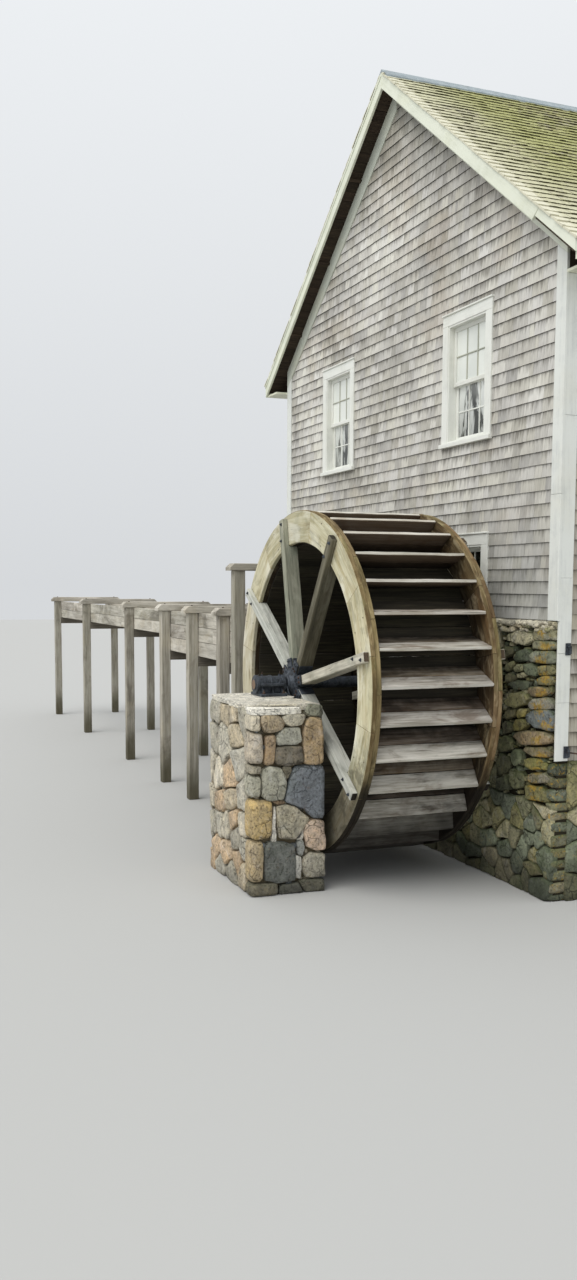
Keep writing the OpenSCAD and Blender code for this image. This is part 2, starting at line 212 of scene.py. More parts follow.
    def bump(self, h, strength=0.5, dist=0.01, n=None):
        b = self.node("ShaderNodeBump")
        b.inputs["Strength"].default_value = strength
        b.inputs["Distance"].default_value = dist
        self.put(b.inputs["Height"], h)
        if n is not None:
            self.put(b.inputs["Normal"], n)
        return b.outputs[0]

    def done(self, color, normal=None, rough=None):
        self.put(self.b.inputs["Base Color"], color)
        if normal is not None:
            self.put(self.b.inputs["Normal"], normal)
        if rough is not None:
            self.put(self.b.inputs["Roughness"], rough)
        return self.m


def axis_coord(M, axis):
    """Grain coordinates for a CAD node: the grain runs along that axis of the object."""
    x, y, z = M.sep(M.obj())
    return {"x": M.comb(x, y, z), "y": M.comb(y, x, z), "z": M.comb(z, x, y)}[axis]


def wood(name, stops, end="#5a5244", crack="#2e2820", coord="gc", streak=34.0, patch=(), knots=0.0, rough=0.85,
         crack_amount=0.5, bump=0.5, value_spread=0.28, hue_spread=0.02, moss=None, low=None, side=None, core=None, blotch=None):
    """Weathered timber. stops: colours from the dark to the light grain. patch: (colour, amount, scale) of larger
    stains.
    moss: (colour, amount). low: (height, blend, colour, amount) darkens what lies under that height of the part; on the
    wheel this is wet staining plus painted shade.
    blotch: (height, scale, amount, colour) stains below that height.
    side: (colour, amount) for faces whose third value is 1. core: (outer radius, inner radius, amount, colour) darkens
    towards the axle: painted shade inside the wheel."""
    M = Mat(name, rough=rough, spec=0.25)
    g = M.gc() if coord == "gc" else axis_coord(M, coord)
    r, e, a3 = M.info()
    wob = M.noise(M.vm("MULTIPLY", g, (1.1, 3.0, 3.0)), 1.0, 2.0, 0.5)
    gw = M.vm("ADD", g, M.comb(0.0, M.mm("MULTIPLY", wob, 0.035), M.mm("MULTIPLY", wob, 0.02)))
    n1 = M.noise(M.vm("MULTIPLY", gw, (1.6, streak, streak)), 1.0, 4.0, 0.62, 0.3)
    n2 = M.noise(M.vm("MULTIPLY", gw, (7.0, streak * 5.0, streak * 5.0)), 1.0, 3.0, 0.6)
    n3 = M.noise(M.vm("MULTIPLY", g, (1.5, 5.0, 5.0)), 1.0, 4.0, 0.6)
    f = M.mm("ADD", M.mm("MULTIPLY", n1, 0.62), M.mm("MULTIPLY", n2, 0.2))
    f = M.mm("ADD", f, M.mm("MULTIPLY", n3, 0.25))
    col = M.ramp(f, stops)
    for k, (pc, amt, sc) in enumerate(patch):
        pn = M.noise(M.vm("MULTIPLY", M.vm("ADD", g, (7.3 * k + 1.7, 3.1 * k, 0.7)), (0.45 * sc, sc, sc)), 1.0, 5.0, 0.62, 0.6)
        col = M.mix(M.mm("MULTIPLY", M.step(pn, 0.5, 0.66), amt), col, pc)
    cr = M.noise(M.vm("MULTIPLY", gw, (2.4, 75.0, 75.0)), 1.0, 2.0, 0.5, 0.2)
    ck = M.step(cr, 0.36, 0.29)
    cl = M.noise(M.vm("MULTIPLY", g, (3.0, 8.0, 8.0)), 1.0, 2.0)
    ck = M.mm("MULTIPLY", ck, M.step(cl, 0.42, 0.6))
    col = M.mix(M.mm("MULTIPLY", ck, crack_amount), col, crack)
    if knots:
        u, v, w = M.sep(g)
        kd, kc = M.vor(M.comb(M.mm("MULTIPLY", u, 1.9), M.mm("MULTIPLY", v, 6.5), M.mm("MULTIPLY", w, 2.0)), 1.0)
        kk = M.step(kd, 0.17, 0.10)
        ring = M.mm("MULTIPLY", M.step(kd, 0.34, 0.14), 0.35)
        keep = M.step(M.sep(kc)[0], 0.45, 0.5)
        col = M.mix(M.mm("MULTIPLY", M.mm("MULTIPLY", ring, keep), knots), col, "#9b7b46")
        col = M.mix(M.mm("MULTIPLY", M.mm("MULTIPLY", kk, keep), knots), col, "#4e3a24")
    val = M.mm("ADD", 1.0 - value_spread / 2, M.mm("MULTIPLY", r, value_spread))
    hue = M.mm("ADD", 0.5 - hue_spread / 2, M.mm("MULTIPLY", M.mm("FRACT", M.mm("MULTIPLY", r, 7.77)), hue_spread))
    col = M.hsv(col, hue, 1.0, val)
    if side:
        col = M.mix(M.mm("MULTIPLY", a3, side[1]), col, side[0])
    if moss:
        mz = M.noise(M.obj(), 5.0, 6.0, 0.7)
        mf = M.noise(M.obj(), 60.0, 3.0, 0.7)
        mk = M.mm("MULTIPLY", M.step(mz, 0.56, 0.7), M.step(mf, 0.35, 0.55))
        col = M.mix(M.mm("MULTIPLY", mk, moss[1]), col, moss[0])
    # end grain
    en = M.noise(M.vm("MULTIPLY", g, (10.0, 22.0, 110.0)), 1.0, 3.0, 0.6, 1.5)
    ec = M.mix(M.step(en, 0.4, 0.62), end, M.hsv(end, 0.5, 1.0, 1.7))
    col = M.mix(e, col, ec)
    if blotch:
        z = M.sep(M.obj())[2]
        bn = M.noise(M.vm("ADD", M.obj(), (2.0, 5.0, 1.0)), blotch[1], 6.0, 0.68, 0.5)
        bk = M.mm("MULTIPLY", M.step(bn, 0.47, 0.6), M.step(z, blotch[0] + 0.5, blotch[0]))
        col = M.mix(M.mm("MULTIPLY", bk, blotch[2]), col, blotch[3])
    # darker under a height: on the wheel, wet staining plus painted shade
    if low:
        z = M.sep(M.obj())[2]
        wz = M.mm("ADD", z, M.mm("MULTIPLY", M.noise(M.obj(), 3.0, 3.0), 0.3))
        amt = low[3] if len(low) > 3 else 0.85
        col = M.mix(M.mm("MULTIPLY", M.step(wz, low[0] + low[1] + 0.15, low[0] + 0.15), amt), col, low[2])
    # painted shade: darker towards the axle, deep inside the wheel
    if core:
        x, y, z = M.sep(M.vm("SUBTRACT", M.obj(), (6.4575, 0.0, 2.0)))
        rad = M.mm("SQRT", M.mm("ADD", M.mm("MULTIPLY", x, x), M.mm("MULTIPLY", z, z)))
        rad = M.mm("ADD", rad, M.mm("MULTIPLY", M.mm("SUBTRACT", M.noise(M.obj(), 9.0, 4.0), 0.5), 0.16))
        col = M.mix(M.mm("MULTIPLY", M.step(rad, core[0], core[1]), core[2]), col, core[3])
    h = M.mm("ADD", M.mm("MULTIPLY", n1, 0.5), M.mm("MULTIPLY", n2, 0.5))
    h = M.mm("SUBTRACT", h, M.mm("MULTIPLY", ck, 0.8))
    nb = M.bump(h, bump, 0.006)
    return M.done(col, nb)


VERGE = 4.5 + 0.27                               # gable edges of the roof, from the middle of its length


def shingle_mat(name, stops, stain="#57504c", stain_amount=0.75, butt="#2c2824", z_dark=None, moss=None, share=0.13, vary=0.07, grain=0.46):
    """Shingles: gc = (down the shingle, across it, out of it); the third value is 0 at the butt and 1 under the next course."""
    M = Mat(name, rough=0.9, spec=0.2)
    g = M.gc()
    r, e, a3 = M.info()
    n1 = M.noise(M.vm("MULTIPLY", g, (2.6, 46.0, 20.0)), 1.0, 4.0, 0.6, 0.25)
    n2 = M.noise(M.vm("MULTIPLY", g, (9.0, 330.0, 60.0)), 1.0, 2.0, 0.6)
    n3 = M.noise(M.obj(), 0.8, 5.0, 0.62)
    f = M.mm("ADD", M.mm("MULTIPLY", r, share), M.mm("MULTIPLY", n1, grain))
    f = M.mm("ADD", f, M.mm("MULTIPLY", n3, 1.0 - grain - share))
    col = M.ramp(f, stops)
    r2 = M.mm("FRACT", M.mm("MULTIPLY", r, 13.7))
    col = M.hsv(col, M.mm("ADD", 0.494, M.mm("MULTIPLY", r2, 0.012)), M.mm("ADD", 0.7, M.mm("MULTIPLY", r2, 0.6)),
                M.mm("ADD", 1.0 - vary / 2, M.mm("MULTIPLY", M.mm("FRACT", M.mm("MULTIPLY", r, 31.3)), vary)))
    warm = M.step(M.noise(M.vm("ADD", M.obj(), (3.0, 1.0, 7.0)), 1.1, 4.0, 0.6), 0.5, 0.66)
    col = M.mix(M.mm("MULTIPLY", warm, 0.22), col, "#b9a78f")
    # dark run-down stains that start under the course above
    s1 = M.noise(M.vm("MULTIPLY", g, (2.4, 22.0, 8.0)), 1.0, 4.0, 0.62)
    s2 = M.noise(M.obj(), 1.4, 5.0, 0.65)
    run = M.mm("ADD", M.mm("MULTIPLY", s1, 0.8), M.mm("MULTIPLY", a3, 0.36))
    run = M.mm("ADD", run, M.mm("MULTIPLY", s2, 0.5))
    sk = M.step(run, 0.76, 1.06)
    col = M.mix(M.mm("MULTIPLY", sk, stain_amount), col, stain)
    col = M.mix(M.mm("MULTIPLY", M.step(n2, 0.42, 0.3), 0.25), col, stain)
    if z_dark:
        z = M.sep(M.obj())[2]
        # darker towards the top of the gable: painted shade under the roof overhang
        tz = M.mm("ADD", z, M.mm("MULTIPLY", M.noise(M.obj(), 0.9, 4.0), 1.2))
        col = M.mix(M.mm("MULTIPLY", M.step(tz, 7.9, 9.4), 0.5), col, "#6f7062")
        col = M.mix(M.mm("MULTIPLY", M.step(z, z_dark[1], z_dark[0]), z_dark[3]), col, z_dark[2])
    h = M.mm("ADD", M.mm("MULTIPLY", n1, 0.6), M.mm("MULTIPLY", n2, 0.4))
    if moss:
        m1 = M.noise(M.obj(), 1.1, 4.0, 0.6)
        m2 = M.noise(M.obj(), 16.0, 5.0, 0.7)
        m3 = M.noise(M.obj(), 75.0, 4.0, 0.75)
        k = M.mm("ADD", M.mm("MULTIPLY", m1, 0.8), M.mm("MULTIPLY", m2, 0.85))
        k = M.mm("ADD", k, M.mm("MULTIPLY", M.mm("SUBTRACT", 1.0, a3), 0.08))
        k = M.step(k, moss[3], moss[3] + 0.2)
        pale = M.step(M.sep(M.obj())[2], 7.7, 5.9)
        pale = M.mm("MAXIMUM", pale, M.mm("MULTIPLY", M.step(M.sep(M.obj())[1], -2.3, -3.5), 0.75))
        col = M.mix(M.mm("MULTIPLY", pale, 0.5), col, "#dfdbc9")
        mv = M.mm("ADD", M.mm("MULTIPLY", m3, 0.75), M.mm("MULTIPLY", m2, 0.25))
        mc = M.ramp(mv, [(0.34, moss[0]), (0.5, moss[1]), (0.64, moss[2])])
        mc = M.mix(M.mm("MULTIPLY", pale, 0.85), mc, "#dedac4")
        col = M.mix(M.mm("MULTIPLY", k, 0.94), col, mc)
        col = M.mix(M.mm("MULTIPLY", M.step(mv, 0.43, 0.36), 0.5), col, "#4f4c2c")
        h = M.mm("ADD", h, M.mm("MULTIPLY", M.mm("MULTIPLY", k, m3), 2.0))
        e = M.mm("MULTIPLY", e, M.mm("SUBTRACT", 1.0, M.mm("MULTIPLY", M.step(m2, 0.5, 0.62), 0.5)))
        # the pale strip without moss along both gable edges
        dv = M.mm("ABSOLUTE", M.mm("SUBTRACT", M.sep(M.obj())[1], 1.212))
        dv = M.mm("ADD", dv, M.mm("MULTIPLY", M.mm("SUBTRACT", M.noise(M.obj(), 7.0, 5.0, 0.7), 0.5), 0.2))
        vg = M.step(dv, VERGE - 0.19, VERGE - 0.14)
        col = M.mix(M.mm("MULTIPLY", vg, 0.88), col, "#dcd9c4")
        e = M.mm("MULTIPLY", e, M.mm("SUBTRACT", 1.0, M.mm("MULTIPLY", vg, 0.9)))
    # butts and side edges take the butt colour: end grain plus painted shade under each course and in the gaps
    col = M.mix(e, col, butt)
    return M.done(col, M.bump(h, 0.6, 0.004))


def stone_mat(name, moss=0.0, lichen=0.0, wet=0.0, sat=1.0, dark=1.0):
    """Stones: the base colour comes from each stone, the third value is its own share of lichen."""
    M = Mat(name, rough=0.88, spec=0.25)
    r, e, a3 = M.info()
    g = M.gc()
    base = M.attr("col").outputs["Color"]
    n1 = M.noise(g, 9.0, 6.0, 0.68, 0.4)
    n2 = M.noise(g, 46.0, 4.0, 0.7)
    n3 = M.noise(g, 190.0, 2.0, 0.7)
    v = M.mm("ADD", M.mm("MULTIPLY", n1, 1.9), M.mm("MULTIPLY", n2, 1.5))
    v = M.mm("ADD", v, M.mm("MULTIPLY", n3, 0.7))
    v = M.mm("MAXIMUM", M.mm("SUBTRACT", v, 1.05), 0.25)
    col = M.hsv(base, 0.5, M.mm("ADD", sat - 0.3, M.mm("MULTIPLY", n1, 0.6)), M.mm("MULTIPLY", v, dark))
    pale = M.step(M.noise(g, 5.0, 5.0, 0.7, 0.8), 0.54, 0.66)
    col = M.mix(M.mm("MULTIPLY", pale, 0.45), col, M.hsv(base, 0.5, 0.45, 1.5 * dark))
    rust = M.step(M.noise(M.vm("ADD", g, (4.0, 9.0, 2.0)), 7.0, 5.0, 0.7, 0.5), 0.6, 0.72)
    col = M.mix(M.mm("MULTIPLY", rust, 0.35), col, "#6f4a24")
    # cracks and pits
    wg = M.vm("ADD", g, M.vm("SCALE", M.node_color(M.noise_color(g, 6.0)), 0.12))
    ck = M.vor(wg, 8.0, "DISTANCE_TO_EDGE")[0]
    ckm = M.mm("MULTIPLY", M.step(ck, 0.045, 0.012), M.step(M.noise(M.vm("ADD", g, (1.0, 5.0, 3.0)), 4.0, 3.0), 0.5, 0.6))
    pit = M.mm("MULTIPLY", M.step(n2, 0.42, 0.33), 0.55)
    dk = M.mm("MAXIMUM", M.mm("MULTIPLY", ckm, 0.75), pit)
    col = M.mix(dk, col, M.hsv(base, 0.5, 0.9, 0.22 * dark))
    if lichen:
        l1 = M.noise(g, 24.0, 6.0, 0.75, 0.5)
        lk = M.step(M.mm("ADD", l1, M.mm("MULTIPLY", a3, 0.24)), 0.60, 0.72)
        lc = M.ramp(M.noise(g, 60.0, 3.0, 0.7), [(0.35, "#a3742a"), (0.5, "#b89230"), (0.68, "#a8a25a")])
        col = M.mix(M.mm("MULTIPLY", lk, lichen), col, lc)
    if moss:
        m1 = M.noise(M.obj(), 2.4, 5.0, 0.65)
        m2 = M.noise(M.obj(), 30.0, 4.0, 0.7)
        nz = M.sep(M.nrm())[2]
        k = M.mm("ADD", M.mm("ADD", m1, M.mm("MULTIPLY", m2, 0.35)), M.mm("MULTIPLY", nz, 0.22))
        k = M.step(k, 0.66, 0.86)
        mc = M.ramp(M.noise(M.obj(), 120.0, 3.0, 0.7), [(0.32, "#25301a"), (0.55, "#46552b"), (0.75, "#6f7c40")])
        col = M.mix(M.mm("MULTIPLY", k, moss), col, mc)
    if wet:
        z = M.sep(M.obj())[2]
        wz = M.mm("ADD", z, M.mm("MULTIPLY", M.noise(M.obj(), 2.0, 3.0), 0.5))
        col = M.mix(M.mm("MULTIPLY", M.step(wz, wet + 0.5, wet), 0.7), col, "#1e211b")
    h = M.mm("ADD", M.mm("MULTIPLY", n1, 0.7), M.mm("MULTIPLY", n2, 0.45))
    h = M.mm("ADD", h, M.mm("MULTIPLY", n3, 0.12))
    fac = M.vor(M.vm("ADD", g, M.vm("SCALE", M.node_color(M.noise_color(g, 3.0)), 0.2)), 9.0)[0]
    h = M.mm("ADD", h, M.mm("MULTIPLY", fac, -0.6))
    h = M.mm("SUBTRACT", h, M.mm("MULTIPLY", dk, 0.35))
    return M.done(col, M.bump(h, 0.9, 0.035))


def paint_mat(name, base="#e6e5da", dirt="#9b9c8c", amount=0.35, peel=0.0, axis="gc", gloss=0.5, warm="#cfc9a8", warm_amount=0.2):
    M = Mat(name, rough=gloss, spec=0.4)
    g = M.obj()
    if axis == "gc":
        w = M.gc()
    else:
        w = axis_coord(M, axis)
    n1 = M.noise(M.vm("MULTIPLY", w, (2.0, 30.0, 30.0)), 1.0, 4.0, 0.65)
    n2 = M.noise(g, 3.0, 6.0, 0.68)
    n3 = M.noise(g, 40.0, 4.0, 0.7)
    k = M.mm("ADD", M.mm("MULTIPLY", n1, 0.45), M.mm("MULTIPLY", n2, 0.65))
    col = M.mix(M.mm("MULTIPLY", M.step(k, 0.5, 0.72), amount), base, dirt)
    col = M.mix(M.mm("MULTIPLY", M.step(M.noise(g, 1.6, 4.0, 0.6), 0.45, 0.7), warm_amount), col, warm)
    col = M.mix(M.mm("MULTIPLY", M.step(n3, 0.62, 0.74), amount * 0.6), col, dirt)
    if peel:
        p = M.noise(M.vm("MULTIPLY", w, (4.0, 16.0, 16.0)), 1.0, 6.0, 0.75, 0.4)
        pk = M.mm("MULTIPLY", M.step(p, 0.6, 0.64), peel)
        col = M.mix(pk, col, "#a29a84")
    e = M.info()[1]
    col = M.mix(M.mm("MULTIPLY", e, 0.35), col, dirt)
    return M.done(col, M.bump(M.mm("ADD", n1, M.mm("MULTIPLY", n3, 0.5)), 0.18, 0.003))


def iron_mat(name, base="#22262d", light="#596473", rust="#5a3a22", rust_amount=0.35, rough=0.55, metal=0.35):
    M = Mat(name, rough=rough, spec=0.5, metal=metal)
    g = M.obj()
    n1 = M.noise(g, 14.0, 6.0, 0.7, 0.4)
    n2 = M.noise(g, 90.0, 4.0, 0.7)
    n3 = M.noise(g, 6.0, 5.0, 0.7)
    col = M.ramp(M.mm("ADD", M.mm("MULTIPLY", n1, 0.6), M.mm("MULTIPLY", n2, 0.4)), [(0.38, base), (0.62, light)])
    col = M.mix(M.mm("MULTIPLY", M.step(n3, 0.52, 0.68), rust_amount), col, rust)
    col = M.mix(M.mm("MULTIPLY", M.info()[2], 0.8), col, "#8a6f55")
    rg = M.mm("ADD", rough - 0.1, M.mm("MULTIPLY", n2, 0.3))
    return M.done(col, M.bump(M.mm("ADD", n1, M.mm("MULTIPLY", n2, 0.5)), 0.4, 0.004), rg)


def plain_dark(name, base="#14120f", axis="x"):
    M = Mat(name, rough=0.95, spec=0.1)
    n = M.noise(M.obj(), 8.0, 4.0, 0.6)
    return M.done(M.mix(n, base, M.hsv(base, 0.5, 1.0, 1.8)), M.bump(n, 0.3, 0.01))


MT = {}
MT["wall_shingle"] = shingle_mat("wall_shingle", [(0.30, "#94918a"), (0.42, "#b2afa7"), (0.54, "#cbc8c0"), (0.68, "#dfddd4")],
                                 stain="#5d5850", stain_amount=0.68, butt="#26231f", z_dark=(2.7, 4.2, "#767a76", 0.4), share=0.17, grain=0.26)
MT["side_shingle"] = shingle_mat("side_shingle", [(0.30, "#827d72"), (0.45, "#9c978b"), (0.66, "#b9b4a8")], stain="#5a5449")
MT["roof_shingle"] = shingle_mat("roof_shingle", [(0.30, "#777159"), (0.46, "#9b947b"), (0.66, "#c0b99f")], stain="#514b38",
                                 stain_amount=0.5, butt="#45422b", moss=("#696a38", "#a5a668", "#d0cfa4", 0.66), vary=0.2)
MT["fieldstone"] = stone_mat("fieldstone", moss=0.5, lichen=0.3, wet=0.3, dark=1.3)
MT["corner_stone"] = stone_mat("corner_stone", moss=0.5, lichen=0.8, wet=0.12, dark=0.88)
MT["pier_stone"] = stone_mat("pier_stone", moss=0.15, lichen=0.2, wet=0.05, sat=0.8, dark=1.02)
MT["cap_stone"] = stone_mat("cap_stone", moss=0.0, lichen=0.12, sat=0.8, dark=1.12)
MT["trim"] = paint_mat("trim_paint", "#e7e6db", "#a9aa9c", 0.4)
MT["rake"] = paint_mat("rake_paint", "#e4e7d6", "#b6baa4", 0.4, warm="#dcdcb8", warm_amount=0.25)
# a darker copy of the trim paint: painted shade under the gable overhang
MT["frieze"] = paint_mat("frieze_paint_painted_shade", "#c8ccc0", "#979d92", 0.4)
MT["corner"] = paint_mat("corner_paint", "#e0e2dc", "#a7abac", 0.35, warm="#cdc6a6", warm_amount=0.15)
# a darker grey copy of the window paint for the upper sashes' bars: painted shade
MT["muntin"] = paint_mat("muntin_paint_painted_shade", "#a9ac9f", "#7f8175", 0.5)
MT["window"] = paint_mat("window_paint", "#e6e7e0", "#aeb0a6", 0.32, warm="#d4d1bc", warm_amount=0.15)
# painted shade: the boards under the overhangs are made near black
MT["soffit"] = wood("soffit_boards_painted_shade", [(0.3, "#211b15"), (0.5, "#332a21"), (0.7, "#463b2e")], value_spread=0.5)
MT["new"] = wood("new_timber", [(0.3, "#8d8262"), (0.44, "#b3a988"), (0.58, "#cdc6ab"), (0.74, "#dcd7c1")], end="#8f7d5b", knots=0.45,
                 patch=(("#9a9880", 0.45, 3.0), ("#a58c5e", 0.3, 5.0), ("#6e6850", 0.4, 8.0), ("#e6e3d4", 0.6, 3.2)), crack_amount=0.5, bump=0.35,
                 value_spread=0.22, low=(0.75, 0.8, "#38342a", 0.8), blotch=(1.25, 5.0, 0.55, "#3b3a2c"))
# the rims' plies go near black at the bottom of the wheel: wet staining plus painted shade
MT["ply"] = wood("rim_ply", [(0.3, "#42351f"), (0.5, "#6d5a3c"), (0.7, "#968361")], end="#3a3022", patch=(("#75704c", 0.5, 3.0), ("#c2b38c", 0.35, 9.0), ("#3a2a18", 0.5, 5.0)),
                 low=(1.0, 0.45, "#0c0a08", 0.93))
MT["ply_pale"] = wood("rim_ply_pale", [(0.3, "#4a3d28"), (0.5, "#7a6a49"), (0.7, "#a5946f")], end="#4a3d2a", patch=(("#575036", 0.55, 3.0), ("#3a2a18", 0.5, 5.0)),
                      low=(1.0, 0.45, "#0c0a08", 0.93))
# shroud faces inside the wheel: old worn timber, darkened further as painted shade inside the wheel and towards the
# axle
MT["worn"] = wood("worn_timber", [(0.3, "#2f261b"), (0.5, "#55462f"), (0.7, "#7f6c4b")], end="#3a2f20", crack_amount=0.8,
                  patch=(("#83633a", 0.3, 4.0), ("#2a2319", 0.55, 3.0), ("#c8b894", 0.45, 9.0)), low=(0.9, 0.8, "#0f0c09", 0.93), core=(1.76, 1.5, 0.75, "#1b1610"))
MT["spoke"] = wood("spoke_timber", [(0.3, "#7d786b"), (0.44, "#a7a294"), (0.58, "#c8c3b3"), (0.75, "#dcd8ca")], end="#4a3f33",
                   patch=(("#868777", 0.5, 4.0), ("#6d5c40", 0.3, 7.0)), knots=0.35, crack_amount=0.7, value_spread=0.2)
MT["spoke_light"] = wood("spoke_light", [(0.3, "#8a8474"), (0.46, "#b3ad9c"), (0.6, "#d0cbbb"), (0.75, "#e0dccf")], end="#4a3f33",
                         patch=(("#95907c", 0.45, 4.0),), knots=0.3, value_spread=0.15)
MT["spoke_dark"] = wood("spoke_dark", [(0.3, "#34322a"), (0.5, "#5e5b4b"), (0.7, "#85816d")], end="#2c281f", patch=(("#8d8a78", 0.4, 5.0), ("#454130", 0.4, 3.0)))
MT["spoke_blue"] = wood("spoke_blue", [(0.3, "#777971"), (0.5, "#a8a9a0"), (0.7, "#d0d0c8")], end="#1f1a15", patch=(("#cbc9be", 0.4, 4.0), ("#5f5d54", 0.4, 6.0)))
MT["spoke_olive"] = wood("spoke_olive", [(0.3, "#5b5b4c"), (0.5, "#868676"), (0.7, "#adad9b")], end="#4a4a3c", patch=(("#6c7465", 0.5, 4.0), ("#b5b3a2", 0.4, 6.0)), crack_amount=0.7, value_spread=0.15)
# bucket timber darkens towards the axle and at the bottom: painted shade, with wet staining at the bottom
MT["bucket"] = wood("bucket_timber", [(0.3, "#50493c"), (0.44, "#918b7e"), (0.58, "#c0bbb0"), (0.75, "#dfdbd1")], end="#6b5a42", crack_amount=0.8,
                    side=("#554330", 0.88), patch=(("#604a33", 0.55, 4.0), ("#37322a", 0.6, 2.4), ("#dcd9cf", 0.3, 7.0)), value_spread=0.4,
                    low=(0.5, 0.5, "#1a1713", 0.9), core=(1.74, 1.6, 0.3, "#2b231a"))
# a darker copy of the bucket timber for the inner planks: painted shade deep inside the wheel
MT["bucket_inner_shaded"] = wood("bucket_inner_shaded", [(0.3, "#3d342a"), (0.44, "#675b4b"), (0.58, "#8f8475"), (0.75, "#b3aa9c")], end="#4c3f2e", crack_amount=0.8,
                          side=("#382b1e", 0.88), patch=(("#5b452c", 0.55, 4.0), ("#221d17", 0.7, 2.2)), value_spread=0.4, low=(0.75, 0.6, "#15120f", 0.9), core=(1.68, 1.5, 0.85, "#17130f"))
MT["bucket_edge"] = wood("bucket_edge", [(0.3, "#8d8778"), (0.46, "#b9b4a6"), (0.6, "#d8d5ca"), (0.75, "#e9e7de")], end="#6b5a42",
                         patch=(("#8a7c60", 0.4, 4.0),), value_spread=0.2, low=(0.3, 0.9, "#3a352b"))
# near-black sole boards between the buckets: dark old timber plus painted shade of the wheel's interior
MT["dark"] = wood("dark_timber", [(0.3, "#191812"), (0.5, "#302d25"), (0.7, "#4b4637")], end="#1d1711", value_spread=0.5)
MT["flume"] = wood("flume_timber", [(0.3, "#6d695e"), (0.44, "#979286"), (0.58, "#b9b4a8"), (0.75, "#d2cec4")], end="#6c6558", streak=22.0,
                   patch=(("#4e483d", 0.7, 1.6), ("#a4977c", 0.3, 4.0), ("#d9d4c8", 0.5, 2.2)), value_spread=0.34)
MT["post"] = wood("post_timber", [(0.3, "#69645a"), (0.44, "#8c877b"), (0.58, "#aaa598"), (0.75, "#c4c0b5")], end="#6c6558",
                  patch=(("#554e42", 0.55, 2.6), ("#a89f86", 0.3, 4.0)), low=(0.1, 0.7, "#4b4735"))
MT["floor"] = wood("floor_board", [(0.3, "#4f3f2b"), (0.5, "#70593c"), (0.7, "#8c7350")], coord="y")
MT["door"] = wood("door_wood", [(0.3, "#5f5745"), (0.5, "#80775f"), (0.7, "#9b9178")])
MT["iron"] = iron_mat("cast_iron", "#15181c", "#565d66", rust_amount=0.08)
MT["iron_rust"] = iron_mat("rusty_iron", "#26201c", "#5a463a", "#623d28", 0.45, 0.72, 0.2)
MT["steel"] = iron_mat("steel_post", "#141920", "#2a323c", "#4c3525", 0.25, 0.5, 0.3)
MT["ridge"] = iron_mat("ridge_metal", "#7f8c92", "#a9b3b6", "#6e6a5c", 0.3, 0.5, 0.25)
MT["core"] = plain_dark("stone_core", "#26231a")
MT["pier_mortar"] = plain_dark("pier_mortar", "#5a5241")
MT["sheath"] = plain_dark("wall_sheathing", "#4c443c")
MT["mortar"] = stone_mat("cement_band", moss=0.12, dark=1.05)


# ------------------------------------------------------------------ mesh building
class Geo:
    """Collects pieces and builds them as one mesh. g: grain coordinates, pa: (random, end flag, third value), col: base colour."""

    def __init__(self):
        self.v, self.f, self.g, self.p, self.c, self.mi, self.sm = [], [], [], [], [], [], []
        self.n = 0

    def add(self, v, f, g=None, r=0.5, e=0.0, a=0.0, col=(0.3, 0.3, 0.3), mat=0, smooth=False):
        v = np.array(v, float)
        v[:, 2] = np.maximum(v[:, 2], -2.0)
        n = len(v)
        p = np.empty((n, 3))
        p[:, 0], p[:, 1], p[:, 2] = r, e, a
        self.v.append(v)
        self.g.append(v if g is None else np.asarray(g, float))
        self.p.append(p)
        c = np.empty((n, 4))
        c[:, :3], c[:, 3] = col, 1.0
        self.c.append(c)
        k = self.n
        self.f += [[i + k for i in q] for q in f]
        self.mi += mat if isinstance(mat, list) else [mat] * len(f)
        self.sm += [smooth] * len(f)
        self.n += n

    def build(self, name, body, mats, replaces=()):
        me = bpy.data.meshes.new(name)
        me.from_pydata((np.concatenate(self.v) + O).tolist(), [], self.f)
        for key, kind, data, prop in (("gc", "FLOAT_VECTOR", self.g, "vector"), ("pa", "FLOAT_VECTOR", self.p, "vector"),
                                      ("col", "FLOAT_COLOR", self.c, "color")):
            at = me.attributes.new(key, kind, "POINT")
            at.data.foreach_set(prop, np.concatenate(data).astype(np.float32).ravel())
        me.polygons.foreach_set("material_index", np.array(self.mi, np.int32))
        me.polygons.foreach_set("use_smooth", np.array(self.sm, bool))
        for m in mats:
            me.materials.append(MT[m])
        me.update()
        ob = bpy.data.objects.new(name, me)
        bpy.context.scene.collection.objects.link(ob)
        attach(ob, body)
        if replaces:
            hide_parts(*replaces)
        return ob


def unit(v):
    v = np.asarray(v, float)
    return v / np.linalg.norm(v)


